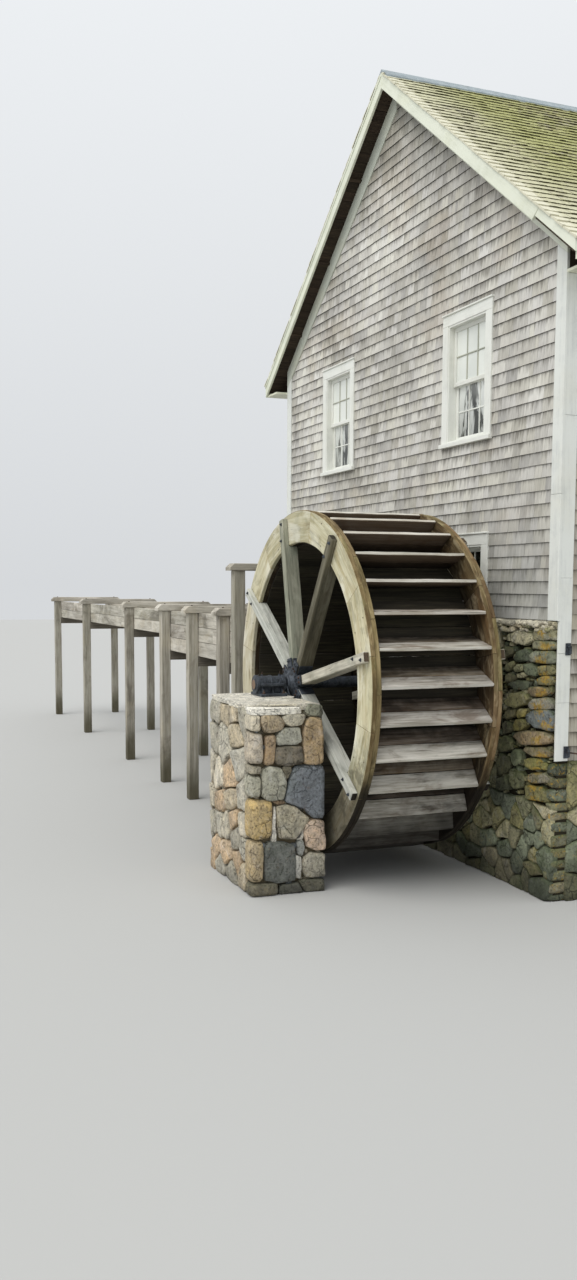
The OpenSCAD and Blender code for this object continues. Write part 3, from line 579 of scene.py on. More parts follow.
def timber(G, p0, p1, wd, w, t, bev=0.004, n=1, wob=0.0, r=None, mat=0, a=(0.0, 0.0), col=(0.3, 0.3, 0.3), rim=None, ragged=0.0):
    """A timber from p0 to p1, w wide along wd and t thick. a: third value on its +td and its -td face. rim: material of its +wd face."""
    p0, p1 = np.asarray(p0, float), np.asarray(p1, float)
    length = float(np.linalg.norm(p1 - p0))
    d = (p1 - p0) / length
    wd = np.asarray(wd, float)
    wd = unit(wd - d * wd.dot(d))
    td = np.cross(d, wd)
    r = rnd() if r is None else r
    off = RNG.uniform(0, 40, 3)
    b = min(bev, w / 3, t / 3)
    hw, ht = w / 2, t / 2
    sec = np.array([(hw - b, ht), (-hw + b, ht), (-hw, ht - b), (-hw, -ht + b), (-hw + b, -ht), (hw - b, -ht), (hw, -ht + b), (hw, ht - b)])
    st = [0.0, b] + [b + (length - 2 * b) * k / n for k in range(1, n)] + [length - b, length]
    rings = []
    for k, s in enumerate(st):
        q = sec.copy()
        if k in (0, len(st) - 1):
            q = q * np.array(((hw - b) / hw, (ht - b) / ht))
        if wob and 0 < k < len(st) - 1:
            q = q * (1 + RNG.uniform(-wob, 0, 2) / np.array((hw, ht))) + RNG.uniform(-wob, wob, 2) * 0.4
        if ragged and k in (0, len(st) - 1):
            q = q * (1 - ragged)
        rings.append(p0 + d * s + q[:, :1] * wd + q[:, 1:] * td)
    m = len(st)
    v = np.concatenate(rings)
    loc = np.stack([(v - p0) @ d, (v - p0) @ wd, (v - p0) @ td], 1)
    f, mi = [], []
    for k in range(m - 1):
        for i in range(8):
            j = (i + 1) % 8
            f.append([k * 8 + i, k * 8 + j, (k + 1) * 8 + j, (k + 1) * 8 + i])
            mi.append(rim if rim is not None and i in (6,) else mat)
    av = np.where(loc[:, 2] > 0, a[0], a[1])
    G.add(v, f, loc + off, r, 0.0, av, col, mi)
    for k, order in ((0, range(7, -1, -1)), (m - 1, range(8))):
        G.add(rings[k], [list(order)], loc[k * 8:k * 8 + 8] + off, r, 1.0, 0.0, col, mat)


def box(G, a, b, axis=0, **kw):
    """A timber that fills the box a-b with its grain along the given axis."""
    a, b = np.minimum(a, b).astype(float), np.maximum(a, b).astype(float)
    c = (a + b) / 2
    p0, p1 = c.copy(), c.copy()
    p0[axis], p1[axis] = a[axis], b[axis]
    o = [(1, 2), (0, 2), (0, 1)][axis]
    wd = np.zeros(3)
    wd[o[0]] = 1
    timber(G, p0, p1, wd, b[o[0]] - a[o[0]], b[o[1]] - a[o[1]], **kw)


class Plane:
    """A flat face: s along it, z up it, n out of it."""

    def __init__(self, p, s, z, n):
        self.p, self.s, self.z, self.n = (np.asarray(q, float) for q in (p, s, z, n))

    def at(self, s, z, h=0.0):
        return self.p + self.s * s + self.z * z + self.n * h


FRONT = Plane((0, Y0, 0), (1, 0, 0), (0, 0, 1), (0, -1, 0))
BACK = Plane((0, Y1, 0), (-1, 0, 0), (0, 0, 1), (0, 1, 0))
RIGHT = Plane((X1, 0, 0), (0, 1, 0), (0, 0, 1), (1, 0, 0))
LEFT = Plane((X0, 0, 0), (0, -1, 0), (0, 0, 1), (-1, 0, 0))
SI, CO = math.sin(math.radians(37.2)), math.cos(math.radians(37.2))
ROOF_R = Plane((HX, 0, RIDGE), (0, 1, 0), (-CO, 0, SI), (SI, 0, CO))
ROOF_L = Plane((HX, 0, RIDGE), (0, -1, 0), (CO, 0, SI), (-SI, 0, CO))


def clip(poly, k, lim, keep_less):
    """Part of a convex polygon with coordinate k below (or above) lim."""
    out = []
    sgn = 1 if keep_less else -1
    for i in range(len(poly)):
        a, b = poly[i], poly[(i + 1) % len(poly)]
        da, db = sgn * (lim - a[k]), sgn * (lim - b[k])
        if da >= 0:
            out.append(a)
        if (da > 0 > db) or (da < 0 < db):
            t = da / (da - db)
            out.append((a[0] + (b[0] - a[0]) * t, a[1] + (b[1] - a[1]) * t))
    return out


def clip_line(poly, a, b, c):
    """Part of a convex polygon where a*s + b*z <= c."""
    out = []
    for i in range(len(poly)):
        p, q = poly[i], poly[(i + 1) % len(poly)]
        dp, dq = c - a * p[0] - b * p[1], c - a * q[0] - b * q[1]
        if dp >= 0:
            out.append(p)
        if (dp > 0 > dq) or (dp < 0 < dq):
            t = dp / (dp - dq)
            out.append((p[0] + (q[0] - p[0]) * t, p[1] + (q[1] - p[1]) * t))
    return out


def cut_hole(poly, h):
    """What is left of a convex polygon outside the rectangle h = (s0, s1, z0, z1)."""
    ss, zz = [p[0] for p in poly], [p[1] for p in poly]
    if max(ss) <= h[0] or min(ss) >= h[1] or max(zz) <= h[2] or min(zz) >= h[3]:
        return [poly]
    parts = [clip(poly, 0, h[0], True), clip(poly, 0, h[1], False)]
    mid = clip(clip(poly, 0, h[0], False), 0, h[1], True)
    if len(mid) > 2:
        parts += [clip(mid, 1, h[2], True), clip(mid, 1, h[3], False)]
    return [p for p in parts if len(p) > 2 and area(p) > 2e-6]


def area(p):
    return 0.5 * sum(p[i][0] * p[(i + 1) % len(p)][1] - p[(i + 1) % len(p)][0] * p[i][1] for i in range(len(p)))


def slab(G, P, poly, h0, h1, bev=0.003, gdir=(1, 0), r=None, mat=0, a=0.0, col=(0.3, 0.3, 0.3), back=True):
    """A flat board with the convex outline poly (counter-clockwise) on the plane P, from height h0 to h1, with a bevelled front edge."""
    r = rnd() if r is None else r
    off = RNG.uniform(0, 40, 3)
    n = len(poly)
    pts = np.array(poly, float)
    c = pts.mean(0)
    rad = np.linalg.norm(pts - c, axis=1, keepdims=True)
    # inset of each corner along the bisector of its two edges
    e1 = np.roll(pts, -1, 0) - pts
    e1 /= np.linalg.norm(e1, axis=1, keepdims=True)
    e0 = np.roll(e1, 1, 0)
    n0, n1 = np.stack([-e0[:, 1], e0[:, 0]], 1), np.stack([-e1[:, 1], e1[:, 0]], 1)
    bis = n0 + n1
    k = bev / np.maximum(0.3, 1 + (n0 * n1).sum(1))
    ins = pts + bis * k[:, None]
    front = P.p + ins[:, :1] * P.s + ins[:, 1:] * P.z + P.n * h1
    edge = P.p + pts[:, :1] * P.s + pts[:, 1:] * P.z + P.n * (h1 - bev)
    base = P.p + pts[:, :1] * P.s + pts[:, 1:] * P.z + P.n * h0
    v = np.concatenate([front, edge, base])
    gd = unit(gdir)
    uv = np.concatenate([ins, pts, pts])
    g = np.stack([uv @ gd, uv @ np.array((-gd[1], gd[0])), np.concatenate([np.full(n, h1), np.full(n, h1 - bev), np.full(n, h0)])], 1)
    f = [list(range(n))]
    for i in range(n):
        j = (i + 1) % n
        f.append([i, n + i, n + j, j])
        f.append([n + i, 2 * n + i, 2 * n + j, n + j])
    if back:
        f.append(list(range(3 * n - 1, 2 * n - 1, -1)))
    G.add(v, f, g + off, r, 0.0, a, col, mat)


def rect(s0, s1, z0, z1):
    return [(s0, z0), (s1, z0), (s1, z1), (s0, z1)]


def lathe(G, prof, c=(0, 0), n=48, mat=0, a=0.0, r=0.5):
    """A turned shape around the Y axis through (x, z) = c. prof: list of (radius, y); each band is smooth around and sharp at its edges."""
    ang = np.linspace(0, 2 * math.pi, n, endpoint=False)
    ca, sa = np.cos(ang), np.sin(ang)
    for (r0, y0), (r1, y1) in zip(prof[:-1], prof[1:]):
        v = np.concatenate([np.stack([c[0] + r0 * ca, np.full(n, y0), c[1] + r0 * sa], 1),
                            np.stack([c[0] + r1 * ca, np.full(n, y1), c[1] + r1 * sa], 1)])
        f = [[i, (i + 1) % n, n + (i + 1) % n, n + i] for i in range(n)]
        G.add(v, f, None, r, 0.0, a, mat=mat, smooth=abs(y1 - y0) > 1e-6 and abs(r1 - r0) < 3 * abs(y1 - y0))


def frame_of(nrm):
    nrm = unit(nrm)
    u = unit(np.cross(nrm, (0.3, 0.2, 1.0) if abs(nrm[2]) < 0.9 else (1.0, 0, 0)))
    return u, np.cross(nrm, u), nrm


def rod(G, p0, p1, rad, n=10, mat=0, a=0.0, rad1=None, caps=True):
    u, w, d = frame_of(np.asarray(p1, float) - np.asarray(p0, float))
    ang = np.linspace(0, 2 * math.pi, n, endpoint=False)
    ring = np.cos(ang)[:, None] * u + np.sin(ang)[:, None] * w
    v = np.concatenate([np.asarray(p0) + ring * rad, np.asarray(p1) + ring * (rad if rad1 is None else rad1)])
    G.add(v, [[i, (i + 1) % n, n + (i + 1) % n, n + i] for i in range(n)], None, 0.5, 0.0, a, mat=mat, smooth=n > 6)
    if caps:
        G.add(v[n:], [list(range(n))], None, 0.5, 0.0, a, mat=mat)
        G.add(v[:n], [list(range(n - 1, -1, -1))], None, 0.5, 0.0, a, mat=mat)


def bolt(G, p, nrm, rad=0.014, h=0.011, mat=0, washer=True, stud=0.0, a=0.0, turn=None):
    """A hexagon head or nut on a washer, with a stud end if asked for."""
    p, nrm = np.asarray(p, float), unit(nrm)
    if washer:
        rod(G, p, p + nrm * 0.003, rad * 1.45, 14, mat, a)
    u, w, d = frame_of(nrm)
    t = rnd(0, 1) if turn is None else turn
    ang = np.linspace(0, 2 * math.pi, 6, endpoint=False) + t
    ring = np.cos(ang)[:, None] * u + np.sin(ang)[:, None] * w
    v = np.concatenate([p + ring * rad + d * 0.003, p + ring * rad + d * (h * 0.8), p + ring * rad * 0.82 + d * h])
    f = [[k * 6 + i, k * 6 + (i + 1) % 6, k * 6 + 6 + (i + 1) % 6, k * 6 + 6 + i] for k in (0, 1) for i in range(6)]
    f.append(list(range(12, 18)))
    G.add(v, f, None, 0.5, 0.0, a, mat=mat)
    if stud:
        rod(G, p + d * h, p + d * (h + stud), rad * 0.5, 8, mat, a)


# ------------------------------------------------------------------ stones
def field(seed):
    """A smooth random function of a point, about -1..1."""
    q = np.random.default_rng(seed)
    k = q.normal(0, 1, (6, 3))
    ph = q.uniform(0, 6.28, 6)
    am = q.uniform(0.3, 1, 6)
    am /= am.sum()
    return lambda p: (np.sin(p @ k.T + ph) * am).sum(-1)


def chaikin(p, n=2, t=0.25):
    for _ in range(n):
        q = np.roll(p, -1, 0)
        p = np.stack([p * (1 - t) + q * t, p * t + q * (1 - t)], 1).reshape(-1, 2)
    return p


def puff(G, P, poly, proud, back=0.05, col=(0.3, 0.3, 0.3), a=0.0, mat=0, rough=0.25, flat=0.6, cut=2):
    """A stone in a wall: its outline is poly on the plane P, and it bulges out by about proud."""
    pts = chaikin(np.array(poly, float), cut, 0.22 if cut > 1 else 0.16)
    n = len(pts)
    c = pts.mean(0)
    size = math.sqrt(max(1e-6, abs(area([tuple(q) for q in pts]))))
    fn, fs = field(int(RNG.integers(1 << 30))), field(int(RNG.integers(1 << 30)))
    tilt = RNG.uniform(-0.25, 0.25, 2)
    v = []
    levels = ((1.0, -back / max(proud, 1e-4)), (1.0, 0.0), (0.97, 0.42), (0.88, 0.8), (0.68, 1.0), (0.36, 1.02))
    if flat > 0.7:
        levels = ((1.015, -back / max(proud, 1e-4)), (1.015, 0.2), (0.995, 0.62), (0.95, 0.9), (0.8, 1.0), (0.42, 1.0))
    for sc, h in levels:
        q = c + (pts - c) * sc
        p3 = np.concatenate([q, np.full((n, 1), h * 0.05)], 1)
        wob = fn(p3 * 14 / max(size, 0.12) * 0.35) * rough * size * 0.12
        q = q + (pts - c) * (wob / size)[:, None] * (0.5 if sc == 1.0 else 1)
        hh = h * proud
        if h > 0:
            hh = hh * (1 + 0.5 * fs(p3 * 9 / max(size, 0.12) * 0.4) * rough * 2) + ((q - c) @ tilt) * proud / size * min(1, h)
        v.append(P.p + q[:, :1] * P.s + q[:, 1:] * P.z + P.n * (np.broadcast_to(hh, (n,)))[:, None])
    m = len(levels)
    v.append((P.at(c[0], c[1], proud * (1.02 + 0.3 * rough * rnd(-1, 1))))[None])
    f = []
    for k in range(m - 1):
        for i in range(n):
            j = (i + 1) % n
            f.append([k * n + i, k * n + j, (k + 1) * n + j, (k + 1) * n + i])
    f += [[(m - 1) * n + i, (m - 1) * n + (i + 1) % n, m * n] for i in range(n)]
    v = np.concatenate(v)
    G.add(v, f, v + RNG.uniform(0, 30, 3), rnd(), 0.0, a(v) if callable(a) else a, col, mat, True)


def grid_cube(n):
    """Points and quads of a cube with n cells along each edge, points shared."""
    pts, idx, f = [], {}, []

    def vid(p):
        k = tuple(np.round(p, 6))
        if k not in idx:
            idx[k] = len(pts)
            pts.append(p)
        return idx[k]
    t = np.linspace(-1, 1, n + 1)
    for ax in range(3):
        for sg in (-1, 1):
            o = [(1, 2), (2, 0), (0, 1)][ax]
            for i in range(n):
                for j in range(n):
                    q = []
                    for di, dj in ((0, 0), (1, 0), (1, 1), (0, 1)):
                        p = np.zeros(3)
                        p[ax], p[o[0]], p[o[1]] = sg, t[i + di], t[j + dj]
                        q.append(vid(p))
                    f.append(q if sg > 0 else q[::-1])
    return np.array(pts), f


CUBES = {n: grid_cube(n) for n in (4, 5, 6, 8, 10)}


def rock(G, a, b, col=(0.3, 0.3, 0.3), n=6, power=5.0, rough=0.05, skew=0.12, lichen=0.0, mat=0, limit=None, rot=0.0):
    """A loose stone that fills the box a-b, rounded and uneven. limit: (axis, sign, value) flattens what passes that plane."""
    a, b = np.minimum(a, b).astype(float), np.maximum(a, b).astype(float)
    c, h = (a + b) / 2, (b - a) / 2
    q, f = CUBES[n]
    q = np.tan(q * 0.72) / math.tan(0.72)
    rr = (np.abs(q) ** power).sum(1) ** (-1 / power)
    p = q * rr[:, None]
    sk = RNG.uniform(-skew, skew, (3, 3))
    np.fill_diagonal(sk, 0)
    p = p * (1 + (p @ sk))
    fn = field(int(RNG.integers(1 << 30)))
    f2 = field(int(RNG.integers(1 << 30)))
    size = float(h.min())
    d = fn(p * 2.2) * rough * 1.6 + f2(p * 6.0) * rough * 0.6
    if rot:
        cr, sr = math.cos(rot), math.sin(rot)
        p = np.stack([p[:, 0], p[:, 1] * cr - p[:, 2] * sr * h[2] / h[1], p[:, 1] * sr * h[1] / h[2] + p[:, 2] * cr], 1)
    v = c + p * h + unit_rows(p / h) * (d * size)[:, None]
    if limit:
        for ax, sg, val in limit:
            v[:, ax] = np.minimum(v[:, ax], val) if sg > 0 else np.maximum(v[:, ax], val)
    G.add(v, f, v + RNG.uniform(0, 30, 3), rnd(), 0.0, lichen(v) if callable(lichen) else lichen, col, mat, True)


def ccw(poly):
    return poly if area(poly) > 0 else poly[::-1]


def laid(G, P, poly, proud, back, col, a=0.0, mat=0, rough=0.3, flat=0.8, jit=0.004, cut=1):
    """A hand-laid stone: a puff whose measured outline is broken up a little."""
    pts = []
    q = ccw(poly)
    for i in range(len(q)):
        (s_a, z_a), (s_b, z_b) = q[i], q[(i + 1) % len(q)]
        pts.append((s_a + rnd(-jit, jit), z_a + rnd(-jit, jit)))
        if math.hypot(s_b - s_a, z_b - z_a) > 0.12:
            pts.append(((s_a + s_b) / 2 + rnd(-jit, jit) * 1.6, (z_a + z_b) / 2 + rnd(-jit, jit) * 1.6))
    puff(G, P, pts, proud, back, col, a, mat, rough, flat, cut)


def flag(G, pts, z0, z1, col, mat=0, layers=3, step=0.008, a=0.0):
    """A split flagstone lying flat: thin layers whose broken edges don't quite line up."""
    base = chaikin(np.array(pts, float), 1, 0.12)
    more = []
    for i in range(len(base)):
        p_, q_ = base[i], base[(i + 1) % len(base)]
        k = max(1, int(np.linalg.norm(q_ - p_) / 0.07))
        for j in range(k):
            more.append(p_ + (q_ - p_) * j / k)
    base = np.array(more)
    c = base.mean(0)
    n = len(base)
    for k in range(layers):
        fn = field(int(RNG.integers(1 << 30)))
        d = fn(np.concatenate([base * 14, np.full((n, 1), k * 1.7)], 1)) * step + fn(np.concatenate([base * 47, np.full((n, 1), k * 2.9)], 1)) * step * 0.5
        q = base + unit_rows(base - c) * (d - rnd(0, step))[:, None]
        za, zb = z0 + (z1 - z0) * k / layers, z0 + (z1 - z0) * (k + 1) / layers
        v = [np.concatenate([q * 1.0, np.full((n, 1), za)], 1), np.concatenate([c + (q - c) * 1.002, np.full((n, 1), (za + zb) / 2)], 1),
             np.concatenate([q, np.full((n, 1), zb - 0.002)], 1), np.concatenate([c + (q - c) * 0.985, np.full((n, 1), zb)], 1),
             np.concatenate([c + (q - c) * 0.6, np.full((n, 1), zb)], 1)]
        v.append(np.array([[c[0], c[1], zb]]))
        v = np.concatenate(v)
        if k == layers - 1:
            top = fn(v * np.array((9, 9, 0.0))) * 0.0025
            v[4 * n - n:, 2] += np.minimum(0.0, top[3 * n:] - 0.001)
        f = [[m * n + i, m * n + (i + 1) % n, (m + 1) * n + (i + 1) % n, (m + 1) * n + i] for m in range(4) for i in range(n)]
        f += [[4 * n + i, 4 * n + (i + 1) % n, 5 * n] for i in range(n)]
        f.append(list(range(n - 1, -1, -1)))
        G.add(v, f, v + RNG.uniform(0, 30, 3), rnd(), 0.0, a, tuple(np.array(lin(col)) * rnd(0.92, 1.08)), mat, False)


def unit_rows(v):
    return v / np.maximum(1e-9, np.linalg.norm(v, axis=1, keepdims=True))


def cells(seeds, s0, s1, z0, z1, gap=0.012, near=16):
    """Voronoi cells of the seeds inside a rectangle, each drawn in by half the gap."""
    seeds = np.asarray(seeds, float)
    out = []
    for i, p in enumerate(seeds):
        poly = rect(s0, s1, z0, z1)
        d = np.linalg.norm((seeds - p) * (1, 1), axis=1)
        for j in np.argsort(d)[1:near]:
            q = seeds[j]
            m, v = (p + q) / 2, q - p
            ln = np.linalg.norm(v)
            poly = clip_line(poly, v[0] / ln, v[1] / ln, float(m @ v) / ln - gap / 2)
            if len(poly) < 3:
                break
        if len(poly) > 2 and area(poly) > 0.0008:
            out.append(poly)
    return out


def scatter(s0, s1, z0, z1, ds, dz, jitter=0.42, hole=None):
    """Seeds in offset rows with jitter."""
    pts = []
    z, k = z0 + dz / 2, 0
    while z < z1:
        s = s0 + (ds / 2 if k % 2 else 0.0)
        while s < s1 + ds / 2:
            q = (s + ds * jitter * rnd(-1, 1), z + dz * jitter * rnd(-1, 1))
            if s0 < q[0] < s1 and z0 < q[1] < z1:
                pts.append(q)
            s += ds * rnd(0.7, 1.3)
        z += dz * rnd(0.85, 1.15)
        k += 1
    return pts


STONES = ["#6b6a5c", "#7c7968", "#5a5a50", "#8b8671", "#767a70", "#94876a", "#6a6450", "#585c58", "#a09a86", "#7d6f57"]


def stone_col(pal=STONES, v=1.0):
    c = np.array(lin(pal[int(RNG.integers(len(pal)))])) * rnd(0.75, 1.2) * v
    return tuple(c)


def shingles(G, P, rows, s0, s1, lines=(), holes=(), wmin=0.075, wmax=0.26, pb=0.02, pt=0.007, over=0.03, jit=0.003, mat=0, ragged=0.0, ends=(0.0, 0.0), even=1.0):
    """Courses of shingles on the plane P. rows: (butt height, exposure). lines: half-planes a*s+b*z<=c that clip them."""
    V, F, GG, PA, n0 = [], [], [], [], 0
    for zk, ex in rows:
        s = s0 - rnd(0, 0.12)
        ra, rb = rnd(-1, 1) * ends[0], rnd(-1, 1) * ends[1]
        while s < s1:
            w = rnd(wmin, wmax)
            if rnd() < 0.25:
                w *= 0.6
            gap = 0.0006 + rnd(0.0, 0.0022) * even
            lean = rnd(-1, 1) * 0.004 * even
            za = zk + rnd(-jit, jit) + (-ragged * rnd() if rnd() < 0.2 else 0.0)
            zb = zk + ex + over
            poly = [(s + gap, za + lean * 0.4), (s + w, za - lean * 0.4), (s + w, zb), (s + gap, zb)]
            poly = clip(clip(poly, 0, s0 - ra * 0.5, False), 0, s1 + rb * 0.5, True)
            for ln in lines:
                if len(poly) > 2:
                    poly = clip_line(poly, *ln)
            parts = [poly] if len(poly) > 2 and area(poly) > 2e-6 else []
            for h in holes:
                parts = [q for p in parts for q in cut_hole(p, h)]
            b_, t_ = pb * (1 + rnd(-0.2, 0.2) * even), pt
            rv, off = rnd(), RNG.uniform(0, 40, 3)
            cup = rnd(-0.0015, 0.002) * even
            for p in parts:
                m = len(p)
                fr, ba, gc, pa = [], [], [], []
                for (ps, pz) in p:
                    q = (pz - zk) / ex
                    h = max(0.0015, b_ + (t_ - b_) * q + (cup if ps > s + w / 2 else 0))
                    fr.append(P.at(ps, pz, h))
                    ba.append(P.at(ps, pz, 0.0))
                    gc.append((pz - zk + off[0], ps + off[1], h + off[2]))
                    pa.append((rv, 0.0, min(1.0, max(0.0, q))))
                V += fr
                GG += gc
                PA += pa
                F.append(list(range(n0, n0 + m)))
                n0 += m
                for i in range(m):
                    j = (i + 1) % m
                    top = p[i][1] > zb - 1e-6 and p[j][1] > zb - 1e-6
                    if top:
                        continue
                    bottom = abs(p[i][1] - p[j][1]) < 0.01 and p[i][1] < zk + 0.01
                    # edge faces carry the butt colour, in full at the butt and partly at the sides: end grain plus
                    # painted shade
                    e = 1.0 if bottom else 0.45
                    V += [ba[i], ba[j], fr[j], fr[i]]
                    GG += [gc[i], gc[j], gc[j], gc[i]]
                    PA += [(rv, e, 0.3)] * 4
                    F.append([n0, n0 + 1, n0 + 2, n0 + 3])
                    n0 += 4
            s += w
    k = G.n
    G.v.append(np.array(V))
    G.g.append(np.array(GG))
    G.p.append(np.array(PA))
    G.c.append(np.tile((0.3, 0.3, 0.3, 1.0), (len(V), 1)))
    G.f += [[i + k for i in q] for q in F]
    G.mi += [mat] * len(F)
    G.sm += [False] * len(F)
    G.n += len(V)


# ------------------------------------------------------------------ CAD nodes that stay in view
def finish_node(node, mat):
    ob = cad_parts[node]
    ob.data.materials.clear()
    ob.data.materials.append(MT[mat])


MT["eave"] = paint_mat("eave_paint", "#dedfcb", "#a7aa92", 0.5, axis="y")
MT["capbeam"] = wood("cap_beam_timber", [(0.3, "#737068"), (0.46, "#989489"), (0.6, "#b1ada2"), (0.75, "#c4c0b6")], coord="y",
                     patch=(("#6a645a", 0.4, 3.0),))
MT["beam"] = wood("floor_beam_timber", [(0.3, "#4a463d"), (0.5, "#6c675c"), (0.7, "#8a8478")], coord="y")
MT["door_paint"] = paint_mat("door_frame_paint", "#e4e3d8", "#a9aa9c", 0.35, axis="z")
for node, mat, slot in (
        ("front_wall", "sheath", "wall_shingle"), ("back_wall", "sheath", "wall_shingle"), ("left_wall", "sheath", "wall_shingle"),
        ("right_wall", "sheath", "wall_shingle"), ("lower_floor", "floor", "floor_board"), ("upper_floor", "floor", "floor_board"),
        ("roof_left", "soffit_cad_painted_shade", "roof_shingle"), ("roof_right", "soffit_cad_painted_shade", "roof_shingle"), ("ridge_cap", "ridge", "ridge_metal"),
        ("eave_left", "eave", "trim_paint"), ("eave_right", "eave", "trim_paint"), ("door_frame", "door_paint", "trim_paint"),
        ("flume_floor_beams", "beam", "post_timber"), ("wheel_shaft", "iron", "iron"), ("wall_bearing", "iron", "iron"),
        ("flume_steel_post", "steel", "steel")):
    # painted shade: the roof deck, seen at the verge and between shingles, is made dark as a shadow line
    if mat == "soffit_cad_painted_shade" and mat not in MT:
        MT[mat] = wood("roof_deck_painted_shade", [(0.3, "#2b231d"), (0.5, "#40352c"), (0.7, "#544739")], coord="y")
    finish_node(node, mat)


# ------------------------------------------------------------------ walls: shingles
WIN_W, WIN_H, WIN_Z, LOW_H, LOW_Z, CAS = 0.78, 1.26, 2.6, 0.635, 0.84, 0.115
SIDE_Z = WIN_Z - 0.1
LOW_X = (-2.925, 0.425)
SIDE_Y = (3.2, 6.26, 9.32)


def opening(c, z, w, h, pad=0.06):
    return (c - w / 2 - pad, c + w / 2 + pad, z - 0.03, z + h + pad)


def courses(z0, z1, ex):
    n = int(math.ceil((z1 - z0) / ex))
    return [(z0 + k * ex, ex) for k in range(n)]


def gable_lines(P):
    """Lines that keep shingles under the frieze boards of a gable."""
    c = HX * P.s[0]
    z = SOFFIT - 0.09
    return [(S, 1.0, z + S * c), (-S, 1.0, z - S * c)]


EX = 0.1232
G = Geo()
shingles(G, FRONT, courses(2.078 - 11 * EX, 6.9, EX), X0 + 0.13, X1 - 0.13, gable_lines(FRONT),
         [opening(x, WIN_Z, WIN_W, WIN_H) for x in LOW_X] + [opening(LOW_X[1], LOW_Z, WIN_W, LOW_H)], pb=0.0175, jit=0.0009, even=0.4)
G.build("front_shingles", "mill", ["wall_shingle"])

G = Geo()
shingles(G, BACK, courses(-0.62, 6.9, 0.14), -X1 + 0.13, -X0 - 0.13, gable_lines(BACK),
         [opening(-x, WIN_Z, WIN_W, WIN_H) for x in LOW_X] + [opening(-x, LOW_Z, WIN_W, LOW_H) for x in LOW_X])
WALL_TOP = RIDGE - 0.17 - S * RUN
for P, sgn in ((RIGHT, 1), (LEFT, -1)):
    hs = [opening(sgn * y, SIDE_Z, WIN_W, WIN_H) for y in SIDE_Y]
    hs += [opening(sgn * y, LOW_Z, WIN_W, LOW_H) for y in (SIDE_Y if sgn > 0 else (SIDE_Y[0], SIDE_Y[2]))]
    if sgn < 0:
        hs.append((-SIDE_Y[1] - 0.51, -SIDE_Y[1] + 0.51, -0.55, LOW_Z + LOW_H + 0.06))
    a, b = sorted((sgn * (Y0 + 0.14), sgn * (Y1 - 0.14)))
    shingles(G, P, courses(-0.62, WALL_TOP + 0.0, 0.14), a, b, [(0.0, 1.0, WALL_TOP + 0.012)], hs)
G.build("side_and_back_shingles", "mill", ["side_shingle"])

# ------------------------------------------------------------------ roof: shingles and moss
G = Geo()
ROWS = int(RUN / CO / 0.1232) + 1
for P, a, b in ((ROOF_R, Y0 - RAKE - 0.012, Y1 + RAKE + 0.012), (ROOF_L, -(Y1 + RAKE + 0.012), -(Y0 - RAKE - 0.012))):
    rows = [(-RUN / CO - 0.02 + k * 0.1232, 0.1232) for k in range(ROWS)]
    shingles(G, P, rows, a, b, [(0.0, 1.0, -0.04)], (), 0.07, 0.22, 0.022, 0.011, 0.035, 0.006, ragged=0.014, ends=(0.012, 0.012))
G.build("roof_shingles", "mill", ["roof_shingle"])


# ------------------------------------------------------------------ trim boards
def split_slope(d, top, bot, s0, s1, cuts, gap=0.0012):
    """Outlines of boards along one slope of the gable, between plumb lines at the distances from the ridge s0..cuts..s1."""
    xs = [s0] + list(cuts) + [s1]
    out = []
    for a, b in zip(xs[:-1], xs[1:]):
        a2 = a + (gap if a != s0 else 0)
        p = [(HX + d * a2, bot - S * a2), (HX + d * b, bot - S * b), (HX + d * b, top - S * b), (HX + d * a2, top - S * a2)]
        out.append(p if d > 0 else p[::-1])
    return out


def on_plane(P, pts):
    """Outline in (x, z) given for the front, turned for the plane P."""
    if P.s[0] > 0:
        return pts
    return [(-x, z) for x, z in pts][::-1]


